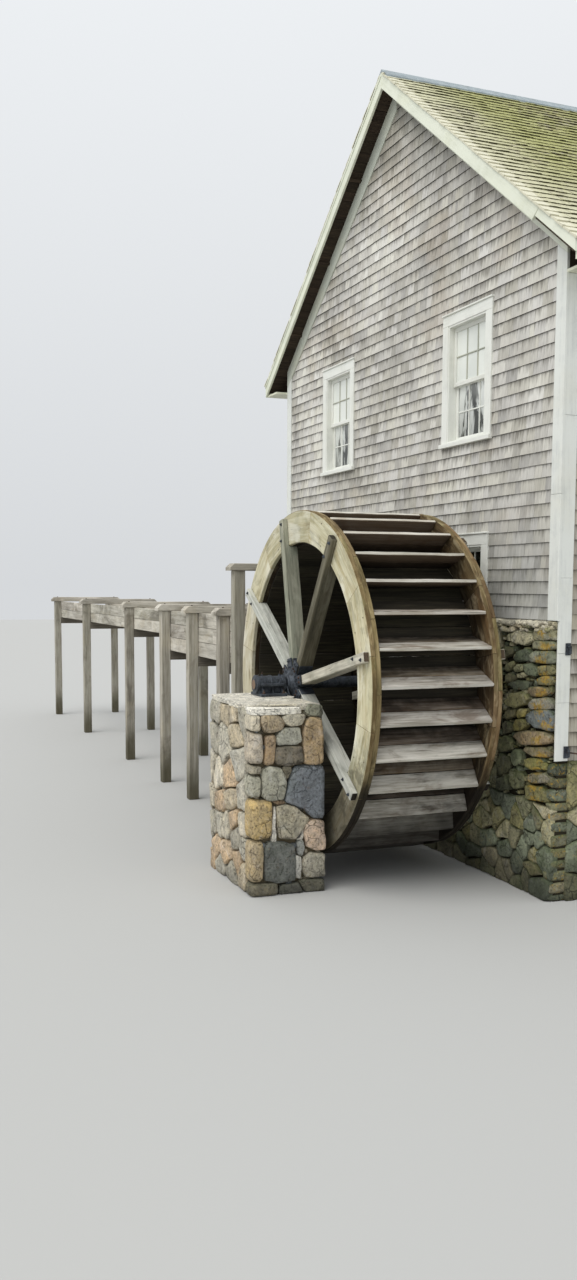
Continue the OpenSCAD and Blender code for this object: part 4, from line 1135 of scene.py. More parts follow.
FRIEZE = {-1: 0.255, 1: 0.165}
F_RAKE = Plane((0, Y0 - RAKE, 0), (1, 0, 0), (0, 0, 1), (0, -1, 0))
B_RAKE = Plane((0, Y1 + RAKE, 0), (-1, 0, 0), (0, 0, 1), (0, 1, 0))
for side, d in (("left", -1), ("right", 1)):
    G = Geo()
    gd = (CO, -SI) if d > 0 else (CO, SI)
    for P in (F_RAKE, B_RAKE):
        if d > 0:                                # the upper board ends in a square cut, the lowest one is narrower
            k1, k2, dl = 3.205, 3.205 + 0.11, 0.11
            polys = split_slope(d, RIDGE, RIDGE - 0.17, 0.0, 1.55, ())
            polys.append([(HX + 1.552, RIDGE - 0.17 - S * 1.552), (HX + k1, RIDGE - 0.17 - S * k1), (HX + k2, RIDGE - S * k2), (HX + 1.552, RIDGE - S * 1.552)])
            polys.append([(HX + k1 + 0.046, RIDGE - dl - S * (k1 + 0.046)), (HX + RUN, RIDGE - dl - S * RUN), (HX + RUN, RIDGE - S * RUN),
                          (HX + k2 + 0.002, RIDGE - S * (k2 + 0.002))])
        else:
            polys = split_slope(d, RIDGE, RIDGE - 0.17, 0.0, RUN, (2.1,))
        for poly in polys:
            slab(G, P, on_plane(P, poly), -0.028, 0.0, 0.003, (gd[0] * P.s[0], gd[1]), a=0.0)
        if d < 0:                                # a thin shingle mould along the top of the board
            for poly in split_slope(d, RIDGE, RIDGE - 0.04, 0.0, RUN, (2.1,)):
                slab(G, P, on_plane(P, poly), 0.0, 0.009, 0.003, (gd[0] * P.s[0], gd[1]))
    G.build("rakes_" + side, "mill", ["rake"], ["rake_boards_" + side])
    G = Geo()
    cuts = (0.931, 1.923, 2.916)
    for P in (FRONT, BACK):
        for poly in split_slope(d, SOFFIT, SOFFIT - FRIEZE[d], 0.0, HW / 2 + 0.028, cuts, 0.002):
            slab(G, P, on_plane(P, poly), 0.0, 0.0265 + rnd(0, 0.003), 0.003, (gd[0] * P.s[0], gd[1]))
    # the left friezes take the darker frieze paint, painted shade under the overhang; the right ones take the rake
    # paint
    G.build("friezes_" + side, "mill", ["frieze" if d < 0 else "rake"], ["frieze_boards_" + side])

# boarded soffits under the gable overhangs, with lookouts; their near-black boards are painted shade
G = Geo()
for d in (-1, 1):
    for ya, yb in ((Y0 - RAKE + 0.029, Y0), (Y1, Y1 + RAKE - 0.029)):
        t = 0.02
        while t < RUN - 0.1:
            w = 0.135 * CO
            xa, xb = HX + d * (t + 0.002), HX + d * min(t + w, RUN - 0.06)
            za, zb = SOFFIT - S * abs(xa - HX) - 0.008, SOFFIT - S * abs(xb - HX) - 0.008
            timber(G, ((xa + xb) / 2, ya, (za + zb) / 2), ((xa + xb) / 2, yb, (za + zb) / 2), (xb - xa, 0, zb - za),
                   math.hypot(xb - xa, zb - za), 0.011, 0.002)
            t += w
        for k in (0.95, 1.94, 2.93):
            x, z = HX + d * k, SOFFIT - S * k - 0.028
            timber(G, (x, ya, z), (x, yb - (0.0 if ya > Y0 else 0.03), z), (d * CO, 0, -SI), 0.045, 0.034, 0.004, r=0.95)
G.build("overhang_soffits", "mill", ["soffit"])

# corner boards
G = Geo()
for d in (-1, 1):
    xa = HX + d * HW / 2
    for front in (True, False):
        P = FRONT if front else BACK
        zb = 0.72 if front else -0.62
        zt = SOFFIT - FRIEZE[d]
        xs = sorted((xa - d * 0.13, xa + d * 0.028))
        top = [zt - S * abs(x - HX) for x in xs]
        if front and d > 0:
            cut = 1.9
            q = [(xs[0], zb), (xs[1], zb), (xs[1], cut), (xs[0], cut)]
            slab(G, P, on_plane(P, q), 0.0, 0.028, 0.003, (0, 1))
            q = [(xs[0], cut + 0.002), (xs[1], cut + 0.002), (xs[1], top[1]), (xs[0], top[0])]
            slab(G, P, on_plane(P, q), 0.0, 0.028, 0.003, (0, 1))
        else:
            q = [(xs[0], zb), (xs[1], zb), (xs[1], top[1]), (xs[0], top[0])]
            slab(G, P, on_plane(P, q), 0.0, 0.028, 0.003, (0, 1))
        P = RIGHT if d > 0 else LEFT
        ys = sorted((d * (Y0 if front else Y1), d * ((Y0 + 0.14) if front else (Y1 - 0.14))))
        zz = [-0.62, -0.06, 0.41, 1.12, 2.62, WALL_TOP] if (front and d > 0) else [-0.62, 1.9, WALL_TOP]
        for k in range(len(zz) - 1):
            slab(G, P, rect(ys[0], ys[1], zz[k] + 0.0015, zz[k + 1]), 0.0, 0.0255 + rnd(0, 0.0025), 0.003, (0, 1))
G.build("corner_trim", "mill", ["corner"], ["corner_boards"])


# ------------------------------------------------------------------ windows
def window(G, GG, P, s0, z0, w, h, two):
    def b(s_a, s_b, z_a, z_b, h0, h1, g=(1, 0), bev=0.003, mat=0):
        slab(G, P, rect(s0 + s_a, s0 + s_b, z0 + z_a, z0 + z_b), h0, h1, bev, g, mat=mat)
    c = CAS
    b(-c, 0, 0, h, 0, 0.03, (0, 1))
    b(w, w + c, 0, h, 0, 0.03, (0, 1))
    b(-c, w + c, h + 0.001, h + c, 0, 0.03)
    b(-c - 0.008, w + c + 0.008, h + c, h + c + 0.018, 0, 0.044)
    b(-c - 0.016, w + c + 0.016, -0.044, 0, 0, 0.056)
    b(0, 0.02, 0.0, h, -0.15, 0.024, (0, 1))
    b(w - 0.02, w, 0.0, h, -0.15, 0.024, (0, 1))
    b(0.02, w - 0.02, h - 0.02, h, -0.15, 0.024)
    b(0.02, w - 0.02, 0, 0.02, -0.15, 0.024)

    def sash(sa, sb, za, zb, h0, h1, nw, nh, kind):
        e = 0.045
        b(sa, sa + e, za, zb, h0, h1, (0, 1))
        b(sb - e, sb, za, zb, h0, h1, (0, 1))
        b(sa + e, sb - e, za, za + e, h0, h1)
        b(sa + e, sb - e, zb - e, zb, h0, h1)
        pw, ph = (sb - sa - 2 * e) / nw, (zb - za - 2 * e) / nh
        # the bars of the upper sashes take the darker muntin paint: painted shade
        mt = 1 if kind == 0 else 0
        for i in range(1, nw):
            b(sa + e + i * pw - 0.0075, sa + e + i * pw + 0.0075, za + e, zb - e, h0 + 0.008, h1 - 0.006, (0, 1), mat=mt)
        for j in range(1, nh):
            b(sa + e, sb - e, za + e + j * ph - 0.0075, za + e + j * ph + 0.0075, h0 + 0.009, h1 - 0.007, mat=mt)
        hm = (h0 + h1) / 2
        for i in range(nw):
            for j in range(nh):
                q = rect(s0 + sa + e + i * pw, s0 + sa + e + (i + 1) * pw, z0 + za + e + j * ph, z0 + za + e + (j + 1) * ph)
                t = RNG.uniform(-0.0016, 0.0016, 4)
                fr = [P.at(p[0], p[1], hm + 0.002 + t[k]) for k, p in enumerate(q)]
                ba = [P.at(p[0], p[1], hm - 0.002 + t[k]) for k, p in enumerate(q)]
                f = [[0, 1, 2, 3], [7, 6, 5, 4]] + [[k, 4 + k, 4 + (k + 1) % 4, (k + 1) % 4] for k in range(4)]
                GG.add(np.array(fr + ba), f, None, rnd(), 0.0, 0.0, mat=kind)
    if two:
        sash(0.02, w - 0.02, h / 2 - 0.02, h - 0.02, -0.075, -0.04, 3, 2, 0)
        sash(0.02, w - 0.02, 0.02, h / 2 + 0.02, -0.11, -0.075, 3, 2, 1)
    else:
        sash(0.02, w - 0.02, 0.02, h - 0.02, -0.095, -0.055, 3, 1, 2)


def glass_mat(name, dark, pale, mode):
    """Old window glass, opaque: the dark room behind it is painted shade, and its soft reflection, streaked on the
    lower sashes, is a painted reflection.
    """
    M = Mat(name, rough=0.06, spec=0.6)
    g = M.obj()
    r = M.info()[0]
    n = M.noise(M.vm("MULTIPLY", g, (7.0, 7.0, 1.5)), 1.0, 4.0, 0.66, 0.9)
    n2 = M.noise(g, 1.8, 3.0, 0.5)
    if mode == 0:
        k = M.mm("ADD", 0.74, M.mm("MULTIPLY", r, 0.16))
        k = M.mm("ADD", k, M.mm("MULTIPLY", M.mm("SUBTRACT", n2, 0.5), 0.5))
    elif mode == 1:
        z = M.sep(g)[2]
        k = M.mm("ADD", M.step(n, 0.40, 0.52), M.mm("MULTIPLY", M.mm("SUBTRACT", z, 5.0), 1.4))
        k = M.mm("MULTIPLY", k, 0.8, clamp=True)
    else:
        k = M.mm("MULTIPLY", M.step(n, 0.5, 0.68), 0.16)
    return M.done(M.mix(k, dark, pale), None, 0.08)


# painted sky reflection on the upper sashes, painted reflection streaks on the lower ones, a painted dark room on the
# small windows
MT["glass_painted_sky_reflection"] = glass_mat("glass_painted_sky_reflection", "#8a9593", "#f0f2ea", 0)
MT["glass_painted_reflection_streaks"] = glass_mat("glass_painted_reflection_streaks", "#282b24", "#e6e9e4", 1)
MT["glass_painted_dark_room"] = glass_mat("glass_painted_dark_room", "#0d0f0e", "#59605c", 2)

GP = Geo()
for name, P, ups, lows, zup in (
        ("front_windows", FRONT, LOW_X, (LOW_X[1],), WIN_Z),
        ("back_windows", BACK, [-x for x in LOW_X], [-x for x in LOW_X], WIN_Z),
        ("right_windows", RIGHT, SIDE_Y, SIDE_Y, SIDE_Z),
        ("left_windows", LEFT, [-y for y in SIDE_Y], [-SIDE_Y[0], -SIDE_Y[2]], SIDE_Z)):
    G = Geo()
    for c in ups:
        window(G, GP, P, c - WIN_W / 2, zup, WIN_W, WIN_H, True)
    for c in lows:
        window(G, GP, P, c - WIN_W / 2, LOW_Z, WIN_W, LOW_H, False)
    G.build(name + "_joinery", "mill", ["window", "muntin"], [name])
GP.build("window_panes", "mill", ["glass_painted_sky_reflection", "glass_painted_reflection_streaks", "glass_painted_dark_room"], ["window_glass"])

# door in the bank side: upright planks, two iron straps and a ring handle
G = Geo()
DZ0, DH = -0.47, LOW_Z + LOW_H + 0.47
DP = Plane((X0, SIDE_Y[1] + 0.45, DZ0), (0, -1, 0), (0, 0, 1), (-1, 0, 0))
sp = 0.84 / 6
for i in range(6):
    slab(G, DP, rect(0.03 + i * sp + 0.0015, 0.03 + (i + 1) * sp - 0.0015, 0.032, DH - 0.032), -0.09, -0.052 + rnd(0, 0.002), 0.004, (0, 1))
for z in (0.3, 1.6):
    slab(G, DP, rect(0.035, 0.72, z, z + 0.045), -0.052, -0.046, 0.002, (1, 0), mat=1)
    for s in (0.1, 0.3, 0.5, 0.68):
        bolt(G, DP.at(s, z + 0.022, -0.046), DP.n, 0.008, 0.006, 1, False)
rod(G, DP.at(0.79, 1.0, -0.05), DP.at(0.79, 1.0, -0.018), 0.012, 10, 1)
rod(G, DP.at(0.79, 0.94, -0.018), DP.at(0.79, 1.06, -0.018), 0.008, 10, 1)
G.build("plank_door", "mill", ["door", "iron_rust"], ["entrance_door"])

# iron brackets on the corner board's edge
G = Geo()
for y, z in ((1.864, 0.454), (1.876, -0.531)):
    box(G, (X1 + 0.028, y - 0.03, z - 0.06), (X1 + 0.034, y + 0.03, z + 0.055), 2, bev=0.002)
    rod(G, (X1 + 0.034, y, z + 0.02), (X1 + 0.075, y, z + 0.02), 0.011, 10)
    rod(G, (X1 + 0.072, y, z + 0.02), (X1 + 0.072, y, z - 0.045), 0.011, 10)
    for dz in (-0.042, 0.04):
        bolt(G, (X1 + 0.034, y, z + dz), (1, 0, 0), 0.007, 0.005, 0, False)
rod(G, (X1 + 0.06, 1.87, -0.53), (X1 + 0.09, 2.28, -0.60), 0.008, 8, 1)
G.build("corner_brackets", "mill", ["iron", "iron_rust"])


# ------------------------------------------------------------------ the water wheel
def pol(r, a, y=0.0):
    return np.array((r * math.cos(a), y, r * math.sin(a)))


def felloe(G, r0, r1, y0, y1, a0, a1, n=9, bev=0.007, mat=0, rim=None, r=None, wob=0.0015, front=0.0):
    """One curved board of a shroud, cut from straight timber, so its grain runs along the chord."""
    r = rnd() if r is None else r
    off = RNG.uniform(0, 40, 3)
    am = (a0 + a1) / 2
    rc, yc, hw, ht = (r0 + r1) / 2, (y0 + y1) / 2, (r1 - r0) / 2, (y1 - y0) / 2
    b = bev
    sec = np.array([(hw - b, ht), (-hw + b, ht), (-hw, ht - b), (-hw, -ht + b), (-hw + b, -ht), (hw - b, -ht), (hw, -ht + b), (hw, ht - b)])
    aa = np.linspace(a0, a1, n + 1)
    dy = rnd(-1, 1) * wob
    rings = []
    for k, a in enumerate(aa):
        q = sec.copy()
        if 0 < k < n:
            q = q + RNG.uniform(-wob, wob, 2) * (0.7, 0.0)
        rr, yy = rc + q[:, 0], yc + q[:, 1] + (dy if k else -dy) * 0.0
        rings.append(np.stack([rr * math.cos(a), yy, rr * math.sin(a)], 1))
    v = np.concatenate(rings)
    t, w = np.array((-math.sin(am), 0, math.cos(am))), np.array((math.cos(am), 0, math.sin(am)))
    g = np.stack([v @ t, v @ w, v[:, 1]], 1) + off
    f, mi = [], []
    for k in range(n):
        for i in range(8):
            j = (i + 1) % 8
            f.append([k * 8 + i, k * 8 + j, (k + 1) * 8 + j, (k + 1) * 8 + i])
            mi.append(rim if rim is not None and i in (5, 6, 7) else mat)
    G.add(v, f, g, r, 0.0, front, mat=mi)
    for k, order in ((0, range(7, -1, -1)), (n, range(8))):
        G.add(rings[k], [list(order)], g[k * 8:k * 8 + 8], r, 1.0, 0.0, mat=mat)


D = math.radians
W = "wheel"
G = Geo()
gp = 0.0012
for k in range(16):                              # outer shroud: two plies with their joints set over
    a = D(SP_A0 + k * 22.5)
    felloe(G, R_IN, R_OUT, 0.0, 0.047, a + gp, a + D(22.5) - gp, mat=0, rim=1, wob=0.002)
    a += D(11.25)
    felloe(G, R_IN + 0.002, R_OUT - 0.003 - rnd(0, 0.003), 0.0485, 0.095, a + gp, a + D(22.5) - gp, mat=2, rim=3, wob=0.002)
G.build("outer_shroud_boards", W, ["new", "ply", "worn", "ply_pale"] if "ply_pale" in MT else ["new", "ply", "worn", "worn"], ["outer_shroud"])
G = Geo()
for k in range(16):
    a = D(SP_A0 + k * 22.5)
    felloe(G, R_IN, R_OUT - rnd(0.0, 0.004), WW - ST, WW - 0.048, a + gp, a + D(22.5) - gp, mat=0, rim=1, wob=0.003)
    a += D(11.25)
    felloe(G, R_IN, R_OUT - rnd(0.0, 0.01), WW - 0.0465, WW, a + gp, a + D(22.5) - gp, mat=0, rim=1, wob=0.003)
G.build("inner_shroud_boards", W, ["worn", "ply"], ["inner_shroud"])

# spokes, each of one timber halved over the rims, with bolts
G = Geo()
STYLE = {0: (0, 0.45), 45: (2, 0.4), 90: (4, 0.6), 135: (3, 0.9), 180: (0, 0.6), 225: (1, 0.4), 270: (0, 0.5), 315: (3, 0.5)}
# spoke k points at SP_A0 + 45 k; materials: 0 grey-white, 1 light, 2 dark brown, 3 blue-grey, 4 olive
for k in range(8):
    a = D(SP_A0 + 45 * k)
    deg = (k * 45) % 360
    m, rv = STYLE[deg]
    tang = (-math.sin(a), 0, math.cos(a))
    for side, (ya, ym, yb) in (("front", (ST, 0.0, -0.065)), ("rear", (WW - ST, WW, WW + 0.065))):
        mm_ = m if side == "front" else (0, 1, 3, 2)[(k * 3 + 1) % 4]
        sg = -1 if side == "front" else 1
        yc, yi = (ym + yb) / 2, ym + sg * 0.03
        timber(G, pol(0.13, a, yc), pol(1.792, a, yc), tang, 0.0995, 0.0635, 0.006, 9, 0.0022, rv, mm_)
        timber(G, pol(0.131, a, (yi + ya) / 2), pol(1.4885, a, (yi + ya) / 2), tang, 0.0975, abs(ya - yi), 0.004, 6, 0.002, rv, mm_)
G.build("spokes", W, ["spoke", "spoke_light", "spoke_dark", "spoke_blue", "spoke_olive"],
        ["wheel_spokes"])

# bolts through the rims, the spokes and the hubs
G = Geo()
for k in range(8):
    a = D(SP_A0 + 45 * k)
    t = np.array((-math.sin(a), 0, math.cos(a)))
    for sg, yf in ((-1, -0.065), (1, WW + 0.065)):
        for rr, off in ((1.56, 0.018), (1.735, -0.018)):
            bolt(G, pol(rr, a, yf) + t * off, (0, sg, 0), 0.0125, 0.012, 0, True, 0.008)
    a += D(11.25)
    for sg, yf in ((-1, 0.0), (1, WW)):
        for rr in (1.555, 1.77):
            bolt(G, pol(rr, a + (0.02 if rr > 1.6 else -0.02), yf), (0, sg, 0), 0.007, 0.005, 1, False)
G.build("rim_bolts", W, ["iron", "iron_rust"])

# hubs: a flanged boss with eight sockets
G = Geo()
for sg, yf, yi in ((-1, -0.065, ST), (1, WW + 0.065, WW - ST)):
    def Y(d):
        return yf + sg * d
    lathe(G, [(0.118, yi), (0.118, Y(0.0))], n=48)
    lathe(G, [(0.112, yi), (0.118, yi + sg * 0.006)], n=48)
    lathe(G, [(0.0602, yi), (0.112, yi)], n=48)
    prof = [(0.118, Y(0.0)), (0.166, Y(0.0)), (0.172, Y(0.005)), (0.172, Y(0.014)), (0.166, Y(0.019)), (0.15, Y(0.019)),
            (0.125, Y(0.03)), (0.105, Y(0.05)), (0.095, Y(0.06)), (0.095, Y(0.076)), (0.088, Y(0.084)), (0.0605, Y(0.084))]
    lathe(G, prof if sg < 0 else prof, n=56)
    for k in range(8):
        a = D(SP_A0 + 45 * k)
        t = np.array((-math.sin(a), 0, math.cos(a)))
        p0, p1 = pol(0.1, a, Y(0.0135)), pol(0.2685, a, Y(0.0135))
        timber(G, p0, p1, t, 0.106, 0.021, 0.004, 2, 0.0005, 0.5, 0)
        for s in (-1, 1):                        # cheeks on both sides of the spoke's end
            q0, q1 = pol(0.15, a, (yf + yi) / 2 + sg * 0.0) + t * s * 0.055, pol(0.262, a, (yf + yi) / 2) + t * s * 0.055
            timber(G, q0, q1, t, 0.009, abs(yf - yi) - 0.004, 0.003, 2, 0.0005, 0.5, 0)
        for rr, o in ((0.175, -0.024), (0.175, 0.024), (0.24, -0.024), (0.24, 0.024)):
            bolt(G, pol(rr, a, Y(0.024)) + t * o, (0, sg, 0), 0.0105, 0.009, 1 if (k * 7 + int(rr * 100)) % 3 == 0 else 0, True, 0.004)
        rib = D(SP_A0 + 45 * k + 22.5)
        timber(G, pol(0.1, rib, Y(0.026)), pol(0.17, rib, Y(0.018)), (-math.sin(rib), 0, math.cos(rib)), 0.012, 0.016, 0.003, 2, 0.0003, 0.5, 0)
G.build("hub_castings", W, ["iron", "iron_rust"], ["wheel_hubs"])

# shaft end with its worn face, and collars
G = Geo()
lathe(G, [(0.052, -0.509), (0.0602, -0.503), (0.0603, -0.4985)], n=40)
lathe(G, [(0.0, -0.509), (0.012, -0.5095), (0.052, -0.509)], n=40, a=1.0)
for y0_, y1_ in ((-0.158, -0.152), (WW + 0.152, WW + 0.19)):
    lathe(G, [(0.0602, y0_), (0.078, y0_), (0.082, y0_ + 0.003), (0.082, y1_ - 0.003), (0.078, y1_), (0.0602, y1_)], n=40)
G.build("shaft_end_and_collars", W, ["iron"])

# bucket boards: two planks each; the third value marks their clockwise face
G = Geo()
LE = D(28)
for i in range(BUCKETS):
    a = D(B_A0 + i * 360 / BUCKETS)
    er = np.array((math.cos(a), 0, math.sin(a)))
    et = np.array((-math.sin(a), 0, math.cos(a)))
    e = er * math.cos(LE) - et * math.sin(LE)
    for t0, t1 in ((0.005, 0.186), (0.189, 0.366)):
        tm = (t0 + t1) / 2
        c = er * R_OUT - e * tm
        y0_, y1_ = np.array((0, ST + 0.0015, 0)), np.array((0, WW - ST - 0.0015, 0))
        th = 0.041 - rnd(0, 0.004)
        # the inner plank of each bucket takes the darker copy of the bucket timber: painted shade
        timber(G, c + y0_, c + y1_, e, t1 - t0, th, 0.006, 7, 0.0035, rnd(), 0 if t0 < 0.1 else 2, (1.0, 0.0), rim=1 if t0 < 0.1 else None)
G.build("bucket_planks", W, ["bucket", "bucket_edge", "bucket_inner_shaded"], ["bucket_boards"])

# sole planks in the near-black timber, which carries painted shade of the wheel's interior
G = Geo()
PA_ = 2 * math.pi / BUCKETS
so = (R_IN - 0.0004) * math.cos(PA_ / 2)
sh = (so - 0.03) * math.tan(PA_ / 2) - 0.0015
for i in range(BUCKETS):
    a = D(B_A0) + (i + 0.5) * PA_
    t = np.array((-math.sin(a), 0, math.cos(a)))
    for s in (-1, 1):
        c = pol(so - 0.008, a) + t * s * sh / 2
        timber(G, c + (0, ST - 0.006, 0), c + (0, WW - ST + 0.006, 0), t, sh + 0.0012, 0.029, 0.003, 5, 0.0005, rnd(), 0)
G.build("sole_planks", W, ["dark"], ["sole_boards"])

# ------------------------------------------------------------------ outer bearing
G = Geo()
CZ = -0.12
box(G, (-0.17, -0.48, CZ), (0.17, -0.19, CZ + 0.03), 1, bev=0.004)
box(G, (-0.075, -0.475, CZ + 0.028), (0.075, -0.195, -0.012), 1, bev=0.006)
for x in (-0.073, 0.073):
    for y in (-0.44, -0.335, -0.23):
        q = Plane((x, y, CZ + 0.03), (1 if x > 0 else -1, 0, 0), (0, 0, 1), (0, -1 if x > 0 else 1, 0))
        slab(G, q, [(0, 0), (0.075, 0), (0.0, 0.085)], -0.006, 0.006, 0.002, (1, 0))
bore = 0.0603
prof = [(bore, -0.5), (0.09, -0.5), (0.098, -0.494), (0.098, -0.47), (0.088, -0.464), (0.088, -0.342), (0.095, -0.336), (0.095, -0.316),
        (0.084, -0.31), (0.084, -0.212), (0.096, -0.206), (0.096, -0.176), (0.088, -0.17), (bore, -0.17)]
lathe(G, prof, n=56)
for s in (-1, 1):                                # the split flange between cap and base
    box(G, (s * 0.082, -0.462, -0.013), (s * 0.132, -0.215, 0.013), 1, bev=0.003)
    for y in (-0.418, -0.255):
        bolt(G, (s * 0.11, y, 0.013), (0, 0, 1), 0.012, 0.014, 0, True, 0.012)
for y in (-0.418, -0.219):                       # grease studs
    rod(G, (0.0, y, 0.084), (0.0, y, 0.104), 0.013, 6)
    rod(G, (0.0, y, 0.1), (0.004, y + 0.006, 0.132), 0.0055, 8, 1)
for x in (-0.145, 0.145):
    for y in (-0.445, -0.225):
        bolt(G, (x, y, CZ + 0.03), (0, 0, 1), 0.015, 0.016, 1, True, 0.02)
rod(G, (0.1, -0.17, -0.02), (0.14, -0.155, -0.11), 0.008, 8)
G.build("bearing_block", "mill", ["iron", "iron_rust"], ["outer_bearing"])


# ------------------------------------------------------------------ stone pier under the outer bearing
PX0, PX1, PY0, PY1, PTOP = -0.335, 1.0, -0.87, -0.13, -0.165
G = Geo()
box(G, (PX0 + 0.06, PY0 + 0.06, -2.0), (PX1 - 0.055, PY1 - 0.05, PTOP - 0.01), 2, bev=0.01, mat=1)
TAN, BEI, GRY, OCH, SLT, WHT, GRN = "#b7a27f", "#c6bda4", "#a3a08e", "#b5975d", "#80868a", "#d9d3c4", "#8c8d7b"
NEAR = Plane((PX1 - 0.022, 0, 0), (0, 1, 0), (0, 0, 1), (1, 0, 0))
PFRONT = Plane((0, PY0 + 0.02, 0), (1, 0, 0), (0, 0, 1), (0, -1, 0))
# faces of the near side as they lie in the photo, each with (y, z) corners, colour, lichen, how proud
FACES = [
    ([(-0.83, -0.16), (-0.64, -0.185), (-0.55, -0.28), (-0.58, -0.35), (-0.72, -0.39), (-0.8, -0.37), (-0.84, -0.28)], TAN, 0.25, 0.05),
    ([(-0.6, -0.23), (-0.53, -0.19), (-0.35, -0.195), (-0.32, -0.23), (-0.36, -0.32), (-0.5, -0.33), (-0.56, -0.3)], BEI, 0.1, 0.05),
    ([(-0.33, -0.28), (-0.25, -0.25), (-0.14, -0.26), (-0.11, -0.44), (-0.11, -0.71), (-0.21, -0.72), (-0.33, -0.7), (-0.35, -0.5)], "#b79c74", 0.6, 0.055),
    ([(-0.66, -0.4), (-0.58, -0.34), (-0.38, -0.34), (-0.36, -0.48), (-0.44, -0.51), (-0.64, -0.51), (-0.67, -0.46)], "#a9a796", 0.05, 0.045),
    ([(-0.67, -0.53), (-0.55, -0.52), (-0.36, -0.53), (-0.34, -0.69), (-0.44, -0.71), (-0.64, -0.71), (-0.68, -0.63)], "#7c7362", 0.2, 0.04),
    ([(-0.78, -0.41), (-0.68, -0.4), (-0.67, -0.55), (-0.68, -0.69), (-0.76, -0.7), (-0.79, -0.67)], "#a98d66", 0.3, 0.045),
    ([(-0.82, -0.75), (-0.74, -0.71), (-0.61, -0.73), (-0.54, -0.84), (-0.55, -0.97), (-0.57, -1.05), (-0.74, -1.05), (-0.81, -1.0), (-0.82, -0.87)], "#aaa793", 0.05, 0.055),
    ([(-0.58, -0.72), (-0.49, -0.72), (-0.48, -0.77), (-0.52, -0.85), (-0.57, -0.81)], "#7d7460", 0.2, 0.03),
    ([(-0.44, -0.73), (-0.32, -0.72), (-0.1, -0.75), (-0.09, -1.27), (-0.22, -1.26), (-0.34, -1.16), (-0.56, -1.07), (-0.52, -0.92), (-0.49, -0.81)], "#7b8187", 0.0, 0.05),
    ([(-0.7, -1.06), (-0.57, -1.06), (-0.55, -1.085), (-0.64, -1.105)], "#8d7353", 0.3, 0.025),
    ([(-0.655, -1.11), (-0.55, -1.09), (-0.43, -1.13), (-0.26, -1.25), (-0.32, -1.33), (-0.43, -1.45), (-0.61, -1.44), (-0.64, -1.32)], "#ada38a", 0.1, 0.05),
    ([(-0.32, -1.3), (-0.24, -1.27), (-0.1, -1.29), (-0.08, -1.47), (-0.08, -1.58), (-0.19, -1.58), (-0.31, -1.53), (-0.34, -1.4)], "#c8ad92", 0.35, 0.055),
    ([(-0.79, -1.53), (-0.74, -1.46), (-0.55, -1.48), (-0.44, -1.52), (-0.42, -1.69), (-0.43, -1.87), (-0.64, -1.88), (-0.78, -1.84)], "#6a6c66", 0.1, 0.035),
    ([(-0.34, -1.65), (-0.25, -1.6), (-0.08, -1.62), (-0.08, -1.85), (-0.16, -1.86), (-0.31, -1.84), (-0.34, -1.75)], "#b0a892", 0.15, 0.05),
    ([(-0.41, -1.48), (-0.34, -1.46), (-0.32, -1.55), (-0.35, -1.63), (-0.41, -1.6)], "#8f9088", 0.0, 0.03),
    ([(-0.6, -1.9), (-0.4, -1.89), (-0.34, -2.0), (-0.62, -2.0)], "#66645a", 0.1, 0.035),
    ([(-0.38, -1.87), (-0.1, -1.88), (-0.09, -2.0), (-0.32, -2.0)], "#6f6b5a", 0.1, 0.04),
    ([(-0.68, -1.12), (-0.662, -1.12), (-0.655, -1.3), (-0.65, -1.47), (-0.7, -1.5), (-0.705, -1.42), (-0.69, -1.25)], WHT, 0.0, 0.012),
    ([(-0.42, -1.46), (-0.36, -1.44), (-0.335, -1.3), (-0.31, -1.34), (-0.33, -1.44), (-0.35, -1.47)], WHT, 0.0, 0.012),
    ([(-0.43, -1.62), (-0.36, -1.64), (-0.35, -1.74), (-0.36, -1.86), (-0.42, -1.84)], "#bdb9ac", 0.0, 0.014)]


def spread(y):
    return max(PY0 + 0.01, -0.888 + (y + 0.94) * 0.913)


for poly, c, li, proud in FACES:
    laid(G, NEAR, [(spread(y), min(-0.208, max(-2.0, z))) for y, z in poly], proud * 0.9, 0.05, tuple(np.array(lin(c)) * rnd(0.95, 1.05)), li, 0, 0.45, 0.8, 0.005)
rock(G, (PX1 - 0.22, spread(-0.32), -0.245), (PX1 + 0.012, PY1 + 0.006, -0.128), lin("#8d8d78"), 8, 5.0, 0.06, 0.08, 0.2, 0, [(0, 1, PX1 + 0.018)])
# the corner stones turn round onto the face beside the bearing
CORNERS = [(-0.365, -0.205, -0.79, "#cfc3a8", 0.1), (-0.69, -0.375, -0.755, "#bfb199", 0.1), (-0.785, -0.70, -0.78, "#a49b84", 0.2), (-1.02, -0.795, -0.785, "#aeaa94", 0.1),
           (-1.435, -1.035, -0.66, "#b99d60", 0.35), (-1.86, -1.445, -0.757, "#b6a075", 0.35), (-2.0, -1.87, -0.60, "#77705b", 0.2)]
for za, zb, y1_, c, li in CORNERS:
    rock(G, (PX1 - rnd(0.17, 0.24), PY0 - 0.022, za + 0.004), (PX1 + 0.02, y1_ - 0.002, zb - 0.004), tuple(np.array(lin(c)) * rnd(0.95, 1.05)), 8, 5.5, 0.05, 0.05, li, 0,
         [(0, 1, PX1 + 0.024), (1, -1, PY0 - 0.026)])
SEEDS = [(-0.19, -0.26), (0.21, -0.2), (0.49, -0.25), (0.69, -0.24), (-0.22, -0.56), (0.12, -0.59), (0.51, -0.43), (-0.32, -0.87), (-0.1, -0.98), (0.57, -0.73),
         (0.31, -0.93), (0.35, -1.14), (0.71, -1.05), (-0.35, -1.25), (-0.03, -1.24), (0.42, -1.35), (0.72, -1.34), (0.5, -1.5), (0.72, -1.58), (0.16, -1.47),
         (-0.03, -1.44), (-0.27, -1.49), (0.2, -1.7), (0.55, -1.75), (-0.15, -1.75), (0.75, -1.85), (0.35, -1.93), (0.0, -1.93), (-0.3, -1.95)]
